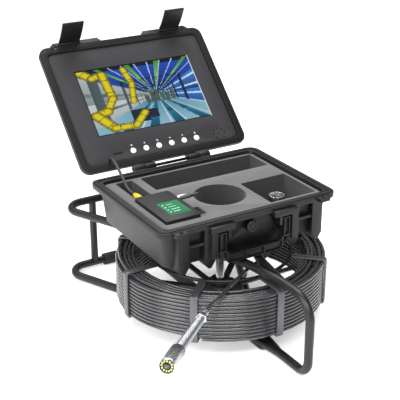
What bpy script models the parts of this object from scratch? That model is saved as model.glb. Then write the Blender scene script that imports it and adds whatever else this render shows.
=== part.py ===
"""Pipe inspection camera: a tubular stand with a cable reel, and a hard case with a monitor in its lid.

Metres, +Z up.  The origin is where the reel's axis meets the floor.  The case opens towards -Y and its
hinge is at +Y; the lid stands open at LID_OPEN_ANGLE above the horizontal.
"""
import bpy
import bmesh
import math
from mathutils import Matrix, Vector

# ---------------------------------------------------------------- driving dimensions (metres)
GAP = 0.0003                  # clearance between pieces that touch
RUNNING_GAP = 0.0004          # clearance of a piece that turns or slides

# stand
TUBE_RADIUS = 0.0060
REEL_HEADROOM = 0.0073        # from the reel's top to the underside of the upper tube
STAND_BACK = 0.2200           # back tube from the reel axis
STAND_CORNER_X = 0.1540       # where the lines of the back and the side tubes cross
STAND_CORNER_RADIUS = 0.0240
LEG_REACH = 0.2150            # front leg from the reel axis
LEG_TOP_BEND = 0.0300
LEG_FOOT_BEND = 0.0200
NECK_X, NECK_Y = 0.0115, -0.0800   # where the side tubes bend to run forwards
NOSE_Y = -0.1500              # where the two side tubes meet
STRUT_X = 0.0970
BASE_BAR_WIDTH = 0.0200
BASE_BAR_THICKNESS = 0.0030
BASE_BAR_FRONT = -0.1240
FOOT_LENGTH = 0.0240
FOOT_X = 0.0700

# reel
AXLE_RADIUS = 0.0060
AXLE_FLANGE_RADIUS = 0.0200
AXLE_FLANGE_THICKNESS = 0.0040
HUB_RADIUS = 0.0340
HUB_SLEEVE_RADIUS = 0.0120
HUB_SLEEVE_HEIGHT = 0.0030
HUB_PLATE_THICKNESS = 0.0030
ARM_COUNT = 8
ARM_WIDTH = 0.0100
ARM_THICKNESS = 0.0025
REEL_RADIUS = 0.1526          # outer face of the arms
REEL_FLOOR = 0.0340           # underside of the arms
REEL_HEIGHT = 0.0700          # arms' full height
RING_WIRE_RADIUS = 0.0025
RING_RADIUS = 0.1005
COIL_INNER_RADIUS = 0.1225
MOUNT_PLATE_RADIUS = 0.0260
SLIP_RING_RADIUS = 0.0125
SLIP_RING_HEIGHT = 0.0120

# push cable and camera head
CABLE_RADIUS = 0.0026
HEAD_RADIUS = 0.0094
HEAD_HOUSING_LENGTH = 0.0440
HEAD_SPRING_RADIUS = 0.0066
HEAD_SPRING_LENGTH = 0.0830
HEAD_COLLAR_RADIUS = 0.0072
HEAD_COLLAR_LENGTH = 0.0070
HEAD_FERRULE_RADIUS = 0.0039
HEAD_FERRULE_LENGTH = 0.0240
HEAD_TIP_X, HEAD_TIP_Y = -0.2340, -0.2635
HEAD_TIP_RISE = 0.0240        # of its front above the reel's top
HEAD_AIM = Vector((0.7400, 0.6680, -0.0900))

# case
CASE_WIDTH = 0.2816
CASE_DEPTH = 0.2134
CASE_CENTRE_Y = 0.0235
CASE_CORNER_RADIUS = 0.0140
CASE_WALL = 0.0030
CASE_HEIGHT = 0.0572          # from the bottom to the rim
RIM_THICKNESS = 0.0070
RIM_OVERHANG = 0.0090         # the rim stands out this far from the walls' upper edge
CASE_DRAFT = 0.0055           # the walls lean in this much towards the bottom
RIB_DEPTH = 0.0080            # V-shaped ribs under the case
RIB_X = (0.0670, 0.1070)
FOAM_DROP = 0.0048            # foam face below the rim
POCKET_DEPTH = 0.0360
FOAM_EDGE = 0.0062            # least foam beside a pocket, at its mouth
HOLE_RADIUS = 0.0370

# lid
LID_OPEN_ANGLE = math.radians(45.0)
LID_SWING = math.radians(135.0)
LID_DEPTH = 0.0300
HINGE_BEHIND = 0.0085         # hinge axis behind the case's rear edge
HINGE_BELOW_RIM = 0.0008
HINGE_PIN_RADIUS = 0.0022
KNUCKLE_RADIUS = 0.0052
SEAL_GAP = 0.0012             # between the two rims when the lid is shut
SEAL_WIDTH = 0.0030
PANEL_RECESS = 0.0020
PANEL_THICKNESS = 0.0030
SCREEN_WIDTH = 0.1976
SCREEN_HEIGHT = 0.1124
SCREEN_X = 0.0022
SCREEN_UP = 0.1197            # screen centre from the hinge axis, along the lid
BUTTON_COUNT = 6
BUTTON_PITCH = 0.0219
BUTTON_FIRST_X = -0.0512
BUTTON_UP = 0.0314
BUTTON_RADIUS = 0.0046
BUTTON_STANDS = 0.0012
LATCH_X = 0.0870
LATCH_WIDTH = 0.0350
LATCH_LENGTH = 0.0380         # below the lid's rim
HANDLE_X = 0.0510             # centre of each handle arm
HANDLE_THICKNESS = 0.0085
HANDLE_BLOCK_OUT = 0.0688     # outer face of the blocks that hold the handle, clear of the latches

# ---------------------------------------------------------------- places worked out from them
LOW_Z = BASE_BAR_THICKNESS + GAP + TUBE_RADIUS
REEL_TOP = REEL_FLOOR + REEL_HEIGHT
HIGH_Z = REEL_TOP + REEL_HEADROOM + TUBE_RADIUS
CASE_BOTTOM = HIGH_Z + TUBE_RADIUS + GAP + RIB_DEPTH
RIM_Z = CASE_BOTTOM + CASE_HEIGHT
CASE_FRONT = CASE_CENTRE_Y - CASE_DEPTH / 2
CASE_BACK = CASE_CENTRE_Y + CASE_DEPTH / 2
HEAD_TIP = Vector((HEAD_TIP_X, HEAD_TIP_Y, REEL_TOP + HEAD_TIP_RISE))
HINGE = Vector((0, CASE_BACK + HINGE_BEHIND, RIM_Z - HINGE_BELOW_RIM))
LID_RIM = HINGE_BELOW_RIM + SEAL_GAP          # lid rim from the hinge axis, in the lid's own frame
LID_NEAR = HINGE_BEHIND
LID_FAR = HINGE_BEHIND + CASE_DEPTH
PANEL_FACE = -LID_RIM - PANEL_RECESS
FOAM_TOP = RIM_Z - FOAM_DROP
POCKET_FLOOR = FOAM_TOP - POCKET_DEPTH
INNER_X = CASE_WIDTH / 2 - RIM_OVERHANG - CASE_WALL
INNER_Y = CASE_DEPTH / 2 - RIM_OVERHANG - CASE_WALL
FLOOR_X = INNER_X - CASE_DRAFT
FLOOR_Y = INNER_Y - CASE_DRAFT

# ---------------------------------------------------------------- scene and helpers
for old in list(bpy.data.objects):
    bpy.data.objects.remove(old, do_unlink=True)

model = bpy.data.collections.new("inspection_camera")
cutters = bpy.data.collections.new("cutters")
bpy.context.scene.collection.children.link(model)
bpy.context.scene.collection.children.link(cutters)


def material(name, colour, roughness, metallic=0.0):
    """A Principled material, made once for each finish."""
    found = bpy.data.materials.get(name)
    if found:
        return found
    made = bpy.data.materials.new(name)
    made.use_nodes = True
    shader = made.node_tree.nodes["Principled BSDF"]
    shader.inputs["Base Color"].default_value = (*colour, 1)
    shader.inputs["Roughness"].default_value = roughness
    shader.inputs["Metallic"].default_value = metallic
    return made


CASE_BLACK = material("case_black", (0.018, 0.018, 0.019), 0.45)
TUBE_BLACK = material("tube_black", (0.020, 0.020, 0.021), 0.55)
RUBBER = material("rubber", (0.012, 0.012, 0.012), 0.80)
STRAP_GREY = material("strap_grey", (0.26, 0.26, 0.27), 0.40, 0.8)
STEEL = material("steel", (0.62, 0.62, 0.63), 0.25, 1.0)
CABLE_BLACK = material("cable_black", (0.020, 0.020, 0.022), 0.35)
FOAM_GREY = material("foam_grey", (0.13, 0.13, 0.13), 0.95)
PANEL_GREY = material("panel_grey", (0.050, 0.050, 0.052), 0.60)
GLASS = material("screen", (0.02, 0.03, 0.06), 0.10)
WHITE = material("button_white", (0.80, 0.80, 0.79), 0.40)
YELLOW = material("plug_yellow", (0.80, 0.58, 0.05), 0.40)
GREEN = material("board_green", (0.02, 0.20, 0.08), 0.45)
LED = material("led", (0.85, 0.82, 0.55), 0.30)
LEAD_GREY = material("lead_grey", (0.16, 0.16, 0.17), 0.50)


def add(name, mesh, finish, parent=None, is_cutter=False):
    """Put a mesh in the scene as one named object."""
    made = bpy.data.objects.new(name, mesh)
    if is_cutter:
        cutters.objects.link(made)
        made.hide_render = True
        made.display_type = "WIRE"
    else:
        model.objects.link(made)
        mesh.materials.append(finish)
    made.parent = parent
    return made


def mesh_from(bm, name):
    """Write a bmesh to a mesh with its faces pointing out."""
    bmesh.ops.recalc_face_normals(bm, faces=bm.faces)
    mesh = bpy.data.meshes.new(name)
    bm.to_mesh(mesh)
    bm.free()
    return mesh


def block(name, low, high, finish=None, radius=0.0, draft=0.0, segments=3, parent=None, is_cutter=False):
    """A box between two corners, with its upright edges rounded and its bottom drawn in by draft."""
    low, high = Vector(low), Vector(high)
    size = high - low
    bm = bmesh.new()
    bmesh.ops.create_cube(bm, size=1.0)
    for vert in bm.verts:
        inset = draft if vert.co.z < 0 else 0.0
        vert.co.x *= size.x - 2 * inset
        vert.co.y *= size.y - 2 * inset
        vert.co.z *= size.z
    upright = [e for e in bm.edges if abs(e.verts[0].co.z - e.verts[1].co.z) > size.z / 2]
    if radius > 0:
        bmesh.ops.bevel(bm, geom=upright, offset=radius, segments=segments, affect="EDGES", profile=0.5)
        if draft > 0:
            bmesh.ops.triangulate(bm, faces=[face for face in bm.faces if len(face.verts) == 4])
    bmesh.ops.translate(bm, verts=bm.verts, vec=(low + high) / 2)
    return add(name, mesh_from(bm, name), finish, parent, is_cutter)


def rod(name, start, end, radius, finish=None, sides=20, tip_radius=None, parent=None, is_cutter=False):
    """A round bar between two points, which may taper."""
    start, end = Vector(start), Vector(end)
    along = end - start
    bm = bmesh.new()
    bmesh.ops.create_cone(bm, cap_ends=True, segments=sides, radius1=radius,
                          radius2=radius if tip_radius is None else tip_radius, depth=along.length)
    turn = Vector((0, 0, 1)).rotation_difference(along.normalized()).to_matrix().to_4x4()
    bmesh.ops.transform(bm, verts=bm.verts, matrix=Matrix.Translation((start + end) / 2) @ turn)
    return add(name, mesh_from(bm, name), finish, parent, is_cutter)


def turned(name, profile, finish=None, origin=(0, 0, 0), along=(0, 0, 1), steps=32, parent=None,
           is_cutter=False):
    """A turned piece: a closed profile of (radius, height) points swept round its axis."""
    mesh = bpy.data.meshes.new(name)
    points = [(radius, 0, height) for radius, height in profile]
    count = len(points)
    on_axis = profile[0][0] < 1e-7 and profile[-1][0] < 1e-7
    edges = [(i, i + 1) for i in range(count - 1)] + ([] if on_axis else [(count - 1, 0)])
    mesh.from_pydata(points, edges, [])
    made = add(name, mesh, finish, parent, is_cutter)
    screw = made.modifiers.new("turn", "SCREW")
    screw.steps = steps
    screw.render_steps = steps
    screw.use_merge_vertices = True
    screw.merge_threshold = 0.00002
    made.location = origin
    made.rotation_euler = Vector((0, 0, 1)).rotation_difference(Vector(along).normalized()).to_euler()
    return made


def frozen(made):
    """The evaluated mesh of an object, in world space, with loose caps welded."""
    bpy.context.view_layer.update()
    evaluated = made.evaluated_get(bpy.context.evaluated_depsgraph_get())
    mesh = bpy.data.meshes.new_from_object(evaluated)
    mesh.transform(made.matrix_world)
    bm = bmesh.new()
    bm.from_mesh(mesh)
    bmesh.ops.remove_doubles(bm, verts=bm.verts, dist=0.00001)
    bmesh.ops.recalc_face_normals(bm, faces=bm.faces)
    bm.to_mesh(mesh)
    bm.free()
    return mesh


def tube(name, points, radius, finish=None, resolution=3, as_mesh=False, parent=None, is_cutter=False):
    """A round tube or cable along points."""
    curve = bpy.data.curves.new(name, "CURVE")
    curve.dimensions = "3D"
    curve.bevel_depth = radius
    curve.bevel_resolution = resolution
    curve.use_fill_caps = True
    spline = curve.splines.new("POLY")
    spline.points.add(len(points) - 1)
    for slot, point in zip(spline.points, points):
        slot.co = (*point, 1)
    if not as_mesh:
        return add(name, curve, finish, parent, is_cutter)
    guide = bpy.data.objects.new(name + "_guide", curve)
    model.objects.link(guide)
    mesh = frozen(guide)
    bpy.data.objects.remove(guide, do_unlink=True)
    mesh.materials.clear()
    return add(name, mesh, finish, parent, is_cutter)


def plate(name, outline, thickness, matrix, finish=None, parent=None, is_cutter=False):
    """A flat plate: a closed outline in its own XY plane, thickened to both sides, then placed."""
    curve = bpy.data.curves.new(name, "CURVE")
    curve.dimensions = "2D"
    curve.fill_mode = "BOTH"
    curve.extrude = thickness / 2
    spline = curve.splines.new("POLY")
    spline.points.add(len(outline) - 1)
    for slot, (x, y) in zip(spline.points, outline):
        slot.co = (x, y, 0, 1)
    spline.use_cyclic_u = True
    guide = bpy.data.objects.new(name + "_guide", curve)
    model.objects.link(guide)
    guide.matrix_world = matrix
    mesh = frozen(guide)
    bpy.data.objects.remove(guide, do_unlink=True)
    mesh.materials.clear()
    return add(name, mesh, finish, parent, is_cutter)


def boolean(made, operation, others):
    """Join or cut with other shapes, which stay in the cutters' collection."""
    for other in others:
        step = made.modifiers.new(other.name, "BOOLEAN")
        step.operation = operation
        step.solver = "EXACT"
        step.object = other


def cut(made, others):
    boolean(made, "DIFFERENCE", others)


def join(made, others):
    boolean(made, "UNION", others)


def smooth(points, spacing):
    """Points spacing apart on a Catmull-Rom curve through the given ones."""
    points = [Vector(p) for p in points]
    ends = [2 * points[0] - points[1]] + points + [2 * points[-1] - points[-2]]
    dense = []
    for a, b, c, d in zip(ends, ends[1:], ends[2:], ends[3:]):
        for i in range(24):
            t = i / 24
            dense.append(0.5 * (2 * b + (c - a) * t + (2 * a - 5 * b + 4 * c - d) * t ** 2
                                + (3 * b - a - 3 * c + d) * t ** 3))
    dense.append(points[-1])
    total = sum((q - p).length for p, q in zip(dense, dense[1:]))
    step = total / max(2, round(total / spacing))
    even, walked, wanted = [dense[0]], 0.0, step
    for p, q in zip(dense, dense[1:]):
        stretch = (q - p).length
        while stretch > 0 and walked + stretch >= wanted - 1e-9 and wanted < total - step / 2:
            even.append(p.lerp(q, (wanted - walked) / stretch))
            wanted += step
        walked += stretch
    return even + [dense[-1]]


def rounded(corners, radii, segments=5):
    """An open path through corners, each turned with its own radius."""
    corners = [Vector(c) for c in corners]
    path = [corners[0]]
    for before, corner, after, radius in zip(corners, corners[1:], corners[2:], radii):
        one, two = (before - corner).normalized(), (after - corner).normalized()
        half = one.angle(two) / 2
        reach = radius / math.tan(half)
        centre = corner + (one + two).normalized() * radius / math.sin(half)
        first, last = corner + one * reach - centre, corner + two * reach - centre
        sweep = math.pi - 2 * half
        for i in range(segments + 1):
            share = i / segments
            path.append(centre + (first * math.sin(sweep * (1 - share)) + last * math.sin(sweep * share))
                        / math.sin(sweep))
    return path + [corners[-1]]


def empty(name, location, rotation=(0, 0, 0)):
    """An empty on a joint's axis, which its pieces are parented to."""
    made = bpy.data.objects.new(name, None)
    model.objects.link(made)
    made.location = location
    made.rotation_euler = rotation
    return made


# ---------------------------------------------------------------- stand
def side_path(side, z):
    """Half of a loop of the stand at height z: from the back's middle, round the corner, to the nose."""
    return [Vector((side * GAP / 2, STAND_BACK, z)), Vector((side * STAND_CORNER_X, STAND_BACK, z)),
            Vector((side * NECK_X, NECK_Y, z)), Vector((0, NOSE_Y, z))]


def build_stand():
    turn = (STAND_CORNER_RADIUS, 0.110)
    leg = [Vector((0, -LEG_REACH, HIGH_Z)), Vector((0, -LEG_REACH, LOW_Z))]
    corners = side_path(-1, HIGH_Z) + leg + side_path(-1, LOW_Z)[::-1]
    radii = (*turn, 0.2, LEG_TOP_BEND, LEG_FOOT_BEND, 0.2, *turn[::-1])
    tube("frame_tube_main", rounded(corners, radii), TUBE_RADIUS, TUBE_BLACK, as_mesh=True)
    for level, z in (("upper", HIGH_Z), ("lower", LOW_Z)):
        name = "frame_tube_%s_right" % level
        made = tube(name, rounded(side_path(1, z), turn), TUBE_RADIUS, TUBE_BLACK, as_mesh=True)
        nose = rounded([*side_path(-1, z), Vector((0, NOSE_Y - 0.04, z))], (*turn, 0.2))
        cope = tube(name + "_cope", nose[8:], TUBE_RADIUS + GAP, as_mesh=True, is_cutter=True)
        cut(made, [cope])
    for side, word in ((-1, "left"), (1, "right")):
        x = side * STRUT_X
        made = rod("rear_strut_" + word, (x, STAND_BACK, LOW_Z), (x, STAND_BACK, HIGH_Z), TUBE_RADIUS - 0.0004,
                   TUBE_BLACK, sides=16)
        seats = [rod("strut_seat_%s_%d" % (word, i), (x - 0.02, STAND_BACK, z), (x + 0.02, STAND_BACK, z),
                     TUBE_RADIUS + GAP, sides=24, is_cutter=True) for i, z in enumerate((LOW_Z, HIGH_Z))]
        cut(made, seats)
        sleeve = rod("foot_sleeve_" + word, (side * (FOOT_X - FOOT_LENGTH / 2), STAND_BACK, LOW_Z),
                     (side * (FOOT_X + FOOT_LENGTH / 2), STAND_BACK, LOW_Z), LOW_Z, RUBBER, sides=24)
        flat = block("foot_flat_" + word, (side * FOOT_X - 0.03, STAND_BACK - 0.02, -0.01),
                     (side * FOOT_X + 0.03, STAND_BACK + 0.02, 0.00005), is_cutter=True)
        bore = rod("foot_bore_" + word, (side * (FOOT_X - FOOT_LENGTH), STAND_BACK, LOW_Z),
                   (side * (FOOT_X + FOOT_LENGTH), STAND_BACK, LOW_Z), TUBE_RADIUS + GAP, sides=24, is_cutter=True)
        cut(sleeve, [flat, bore])
    block("base_bar", (-BASE_BAR_WIDTH / 2, BASE_BAR_FRONT, 0),
          (BASE_BAR_WIDTH / 2, STAND_BACK + TUBE_RADIUS, BASE_BAR_THICKNESS), STRAP_GREY, radius=0.006)


# ---------------------------------------------------------------- reel
HUB_BASE = BASE_BAR_THICKNESS + GAP + AXLE_FLANGE_THICKNESS + GAP
SLIP_RING_LOW = REEL_FLOOR + ARM_THICKNESS + GAP + HUB_PLATE_THICKNESS + HUB_SLEEVE_HEIGHT + GAP
ARM_ROOT = HUB_RADIUS - 0.010


def build_axle():
    foot = BASE_BAR_THICKNESS + GAP
    top = CASE_BOTTOM - 0.0030 - 2 * GAP
    turned("axle_post", [(0, top), (AXLE_RADIUS, top), (AXLE_RADIUS, foot + AXLE_FLANGE_THICKNESS),
                         (AXLE_FLANGE_RADIUS / 2, foot + AXLE_FLANGE_THICKNESS), (AXLE_FLANGE_RADIUS / 2, foot),
                         (0, foot)], STEEL, steps=24)
    turned("case_mount_plate", [(0, top + GAP + 0.0030), (MOUNT_PLATE_RADIUS, top + GAP + 0.0030),
                                (MOUNT_PLATE_RADIUS, top + GAP), (0, top + GAP)], STRAP_GREY, steps=32)
    low = SLIP_RING_LOW
    bore = AXLE_RADIUS + GAP
    turned("slip_ring", [(SLIP_RING_RADIUS, low + SLIP_RING_HEIGHT), (SLIP_RING_RADIUS, low), (bore, low),
                         (bore, low + SLIP_RING_HEIGHT)], CASE_BLACK, steps=24)


def build_reel():
    """Hub, eight bent flat arms, wire ring and the wound cable's outer shape."""
    axis = empty("reel_axis", (0, 0, 0))
    bore = AXLE_RADIUS + RUNNING_GAP
    plate_low = REEL_FLOOR + ARM_THICKNESS + GAP
    plate_top = plate_low + HUB_PLATE_THICKNESS
    sleeve_top = plate_top + HUB_SLEEVE_HEIGHT
    turned("reel_hub", [(HUB_SLEEVE_RADIUS, sleeve_top), (HUB_SLEEVE_RADIUS, plate_top), (HUB_RADIUS, plate_top),
                        (HUB_RADIUS, plate_low), (HUB_SLEEVE_RADIUS, plate_low), (HUB_SLEEVE_RADIUS, HUB_BASE),
                        (bore, HUB_BASE), (bore, sleeve_top)], STRAP_GREY, steps=32, parent=axis)
    lip_end = RING_RADIUS + RING_WIRE_RADIUS + GAP
    bend, t = 0.004, ARM_THICKNESS
    outer, inner = REEL_RADIUS, REEL_RADIUS - t
    outline = [(ARM_ROOT, REEL_FLOOR), (outer - bend, REEL_FLOOR), (outer - bend * 0.3, REEL_FLOOR + bend * 0.3),
               (outer, REEL_FLOOR + bend), (outer, REEL_TOP - bend), (outer - bend * 0.3, REEL_TOP - bend * 0.3),
               (outer - bend, REEL_TOP), (lip_end, REEL_TOP), (lip_end, REEL_TOP - t), (inner - bend / 2, REEL_TOP - t),
               (inner, REEL_TOP - t - bend / 2), (inner, REEL_FLOOR + t + bend / 2), (inner - bend / 2, REEL_FLOOR + t),
               (ARM_ROOT, REEL_FLOOR + t)]
    upright = Matrix.Rotation(math.radians(90), 4, "X")
    for i in range(ARM_COUNT):
        spin = Matrix.Rotation(2 * math.pi * i / ARM_COUNT, 4, "Z")
        plate("reel_arm_%d" % (i + 1), outline, ARM_WIDTH, spin @ upright, STRAP_GREY, parent=axis)
    wire = [(RING_RADIUS + RING_WIRE_RADIUS * math.cos(math.pi * (i + 0.5) / 4),
             REEL_TOP - RING_WIRE_RADIUS - RING_WIRE_RADIUS * math.sin(math.pi * (i + 0.5) / 4)) for i in range(8)]
    turned("reel_ring", wire, STEEL, steps=40, parent=axis)
    low, top = REEL_FLOOR + t + GAP, REEL_TOP - t - GAP
    wide, narrow = inner - GAP, COIL_INNER_RADIUS
    turned("cable_coil", [(narrow + 0.006, top), (wide - 0.008, top), (wide - 0.0025, top - 0.003), (wide, top - 0.009),
                          (wide, low + 0.005), (wide - 0.004, low), (narrow + 0.003, low), (narrow, low + 0.004),
                          (narrow, top - 0.006)], CABLE_BLACK, steps=48, parent=axis)


# ---------------------------------------------------------------- push cable's free end and camera head
def head_point(distance):
    """A point on the camera head's axis, measured back from its front face."""
    return HEAD_TIP + HEAD_AIM.normalized() * distance


def build_head():
    spring_at = HEAD_HOUSING_LENGTH + GAP
    collar_at = spring_at + HEAD_SPRING_LENGTH + GAP
    ferrule_at = collar_at + HEAD_COLLAR_LENGTH + GAP
    cable_at = ferrule_at + HEAD_FERRULE_LENGTH + GAP
    aim = HEAD_AIM.normalized()
    wall, ring_depth = 0.0010, 0.0040
    rear = HEAD_RADIUS * 0.78
    turned("head_housing", [(0, HEAD_HOUSING_LENGTH), (rear, HEAD_HOUSING_LENGTH),
                            (HEAD_RADIUS, HEAD_HOUSING_LENGTH - 0.004), (HEAD_RADIUS, 0.001),
                            (HEAD_RADIUS - 0.0006, 0), (HEAD_RADIUS - wall, 0),
                            (HEAD_RADIUS - wall, ring_depth + GAP), (0, ring_depth + GAP)],
           STEEL, HEAD_TIP, aim, steps=28)
    ring_out, lens_out = HEAD_RADIUS - wall - GAP, 0.0034
    turned("head_led_ring", [(lens_out + GAP, 0.0006), (ring_out, 0.0006), (ring_out, ring_depth),
                             (lens_out + GAP, ring_depth)][::-1], LED, HEAD_TIP, aim, steps=28)
    turned("head_lens", [(0, 0.0002), (lens_out * 0.6, 0.0004), (lens_out, 0.0012), (lens_out, ring_depth),
                         (0, ring_depth)][::-1], GLASS, HEAD_TIP, aim, steps=20)
    rod("head_spring", head_point(spring_at), head_point(spring_at + HEAD_SPRING_LENGTH), HEAD_SPRING_RADIUS,
        STEEL, sides=20)
    rod("head_collar", head_point(collar_at), head_point(collar_at + HEAD_COLLAR_LENGTH), HEAD_COLLAR_RADIUS,
        STEEL, sides=6)
    rod("head_ferrule", head_point(ferrule_at), head_point(ferrule_at + HEAD_FERRULE_LENGTH), HEAD_FERRULE_RADIUS,
        STEEL, sides=16)
    start = head_point(cable_at)
    over_coil = REEL_TOP + CABLE_RADIUS + 0.0018
    route = [start, start + aim * 0.012, (-0.0860, -0.1370, over_coil + 0.0030), (-0.0550, -0.1130, over_coil + 0.0005),
             (-0.0270, -0.0960, over_coil), (0.0000, -0.0760, REEL_TOP + 0.0005), (0.0240, -0.0630, REEL_TOP - 0.0020),
             (0.0500, -0.0470, REEL_TOP - 0.0050), (0.0800, -0.0280, REEL_TOP - 0.0090),
             (COIL_INNER_RADIUS - CABLE_RADIUS - 0.0040, -0.0060, REEL_TOP - 0.0150)]
    tube("push_cable_tail", smooth(route, 0.010), CABLE_RADIUS, CABLE_BLACK, resolution=2)


# ---------------------------------------------------------------- case
def case_cavity():
    low = (-INNER_X, CASE_CENTRE_Y - INNER_Y, CASE_BOTTOM + CASE_WALL)
    high = (INNER_X, CASE_CENTRE_Y + INNER_Y, RIM_Z + 0.01)
    return block("case_cavity", low, high, radius=CASE_CORNER_RADIUS - 0.006, draft=CASE_DRAFT, is_cutter=True)


def vee_rib(name, x, front, back, half_width):
    """A V-shaped rib under the case, joined to its floor and walls."""
    outline = [(-half_width, RIM_Z - RIM_THICKNESS / 2), (half_width, RIM_Z - RIM_THICKNESS / 2),
               (half_width, CASE_BOTTOM + 0.002), (0.002, CASE_BOTTOM - RIB_DEPTH), (-0.002, CASE_BOTTOM - RIB_DEPTH),
               (-half_width, CASE_BOTTOM + 0.002)]
    place = Matrix.Translation((x, (front + back) / 2, 0)) @ Matrix.Rotation(math.radians(90), 4, "X")
    return plate(name, outline, back - front, place, is_cutter=True)


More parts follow.
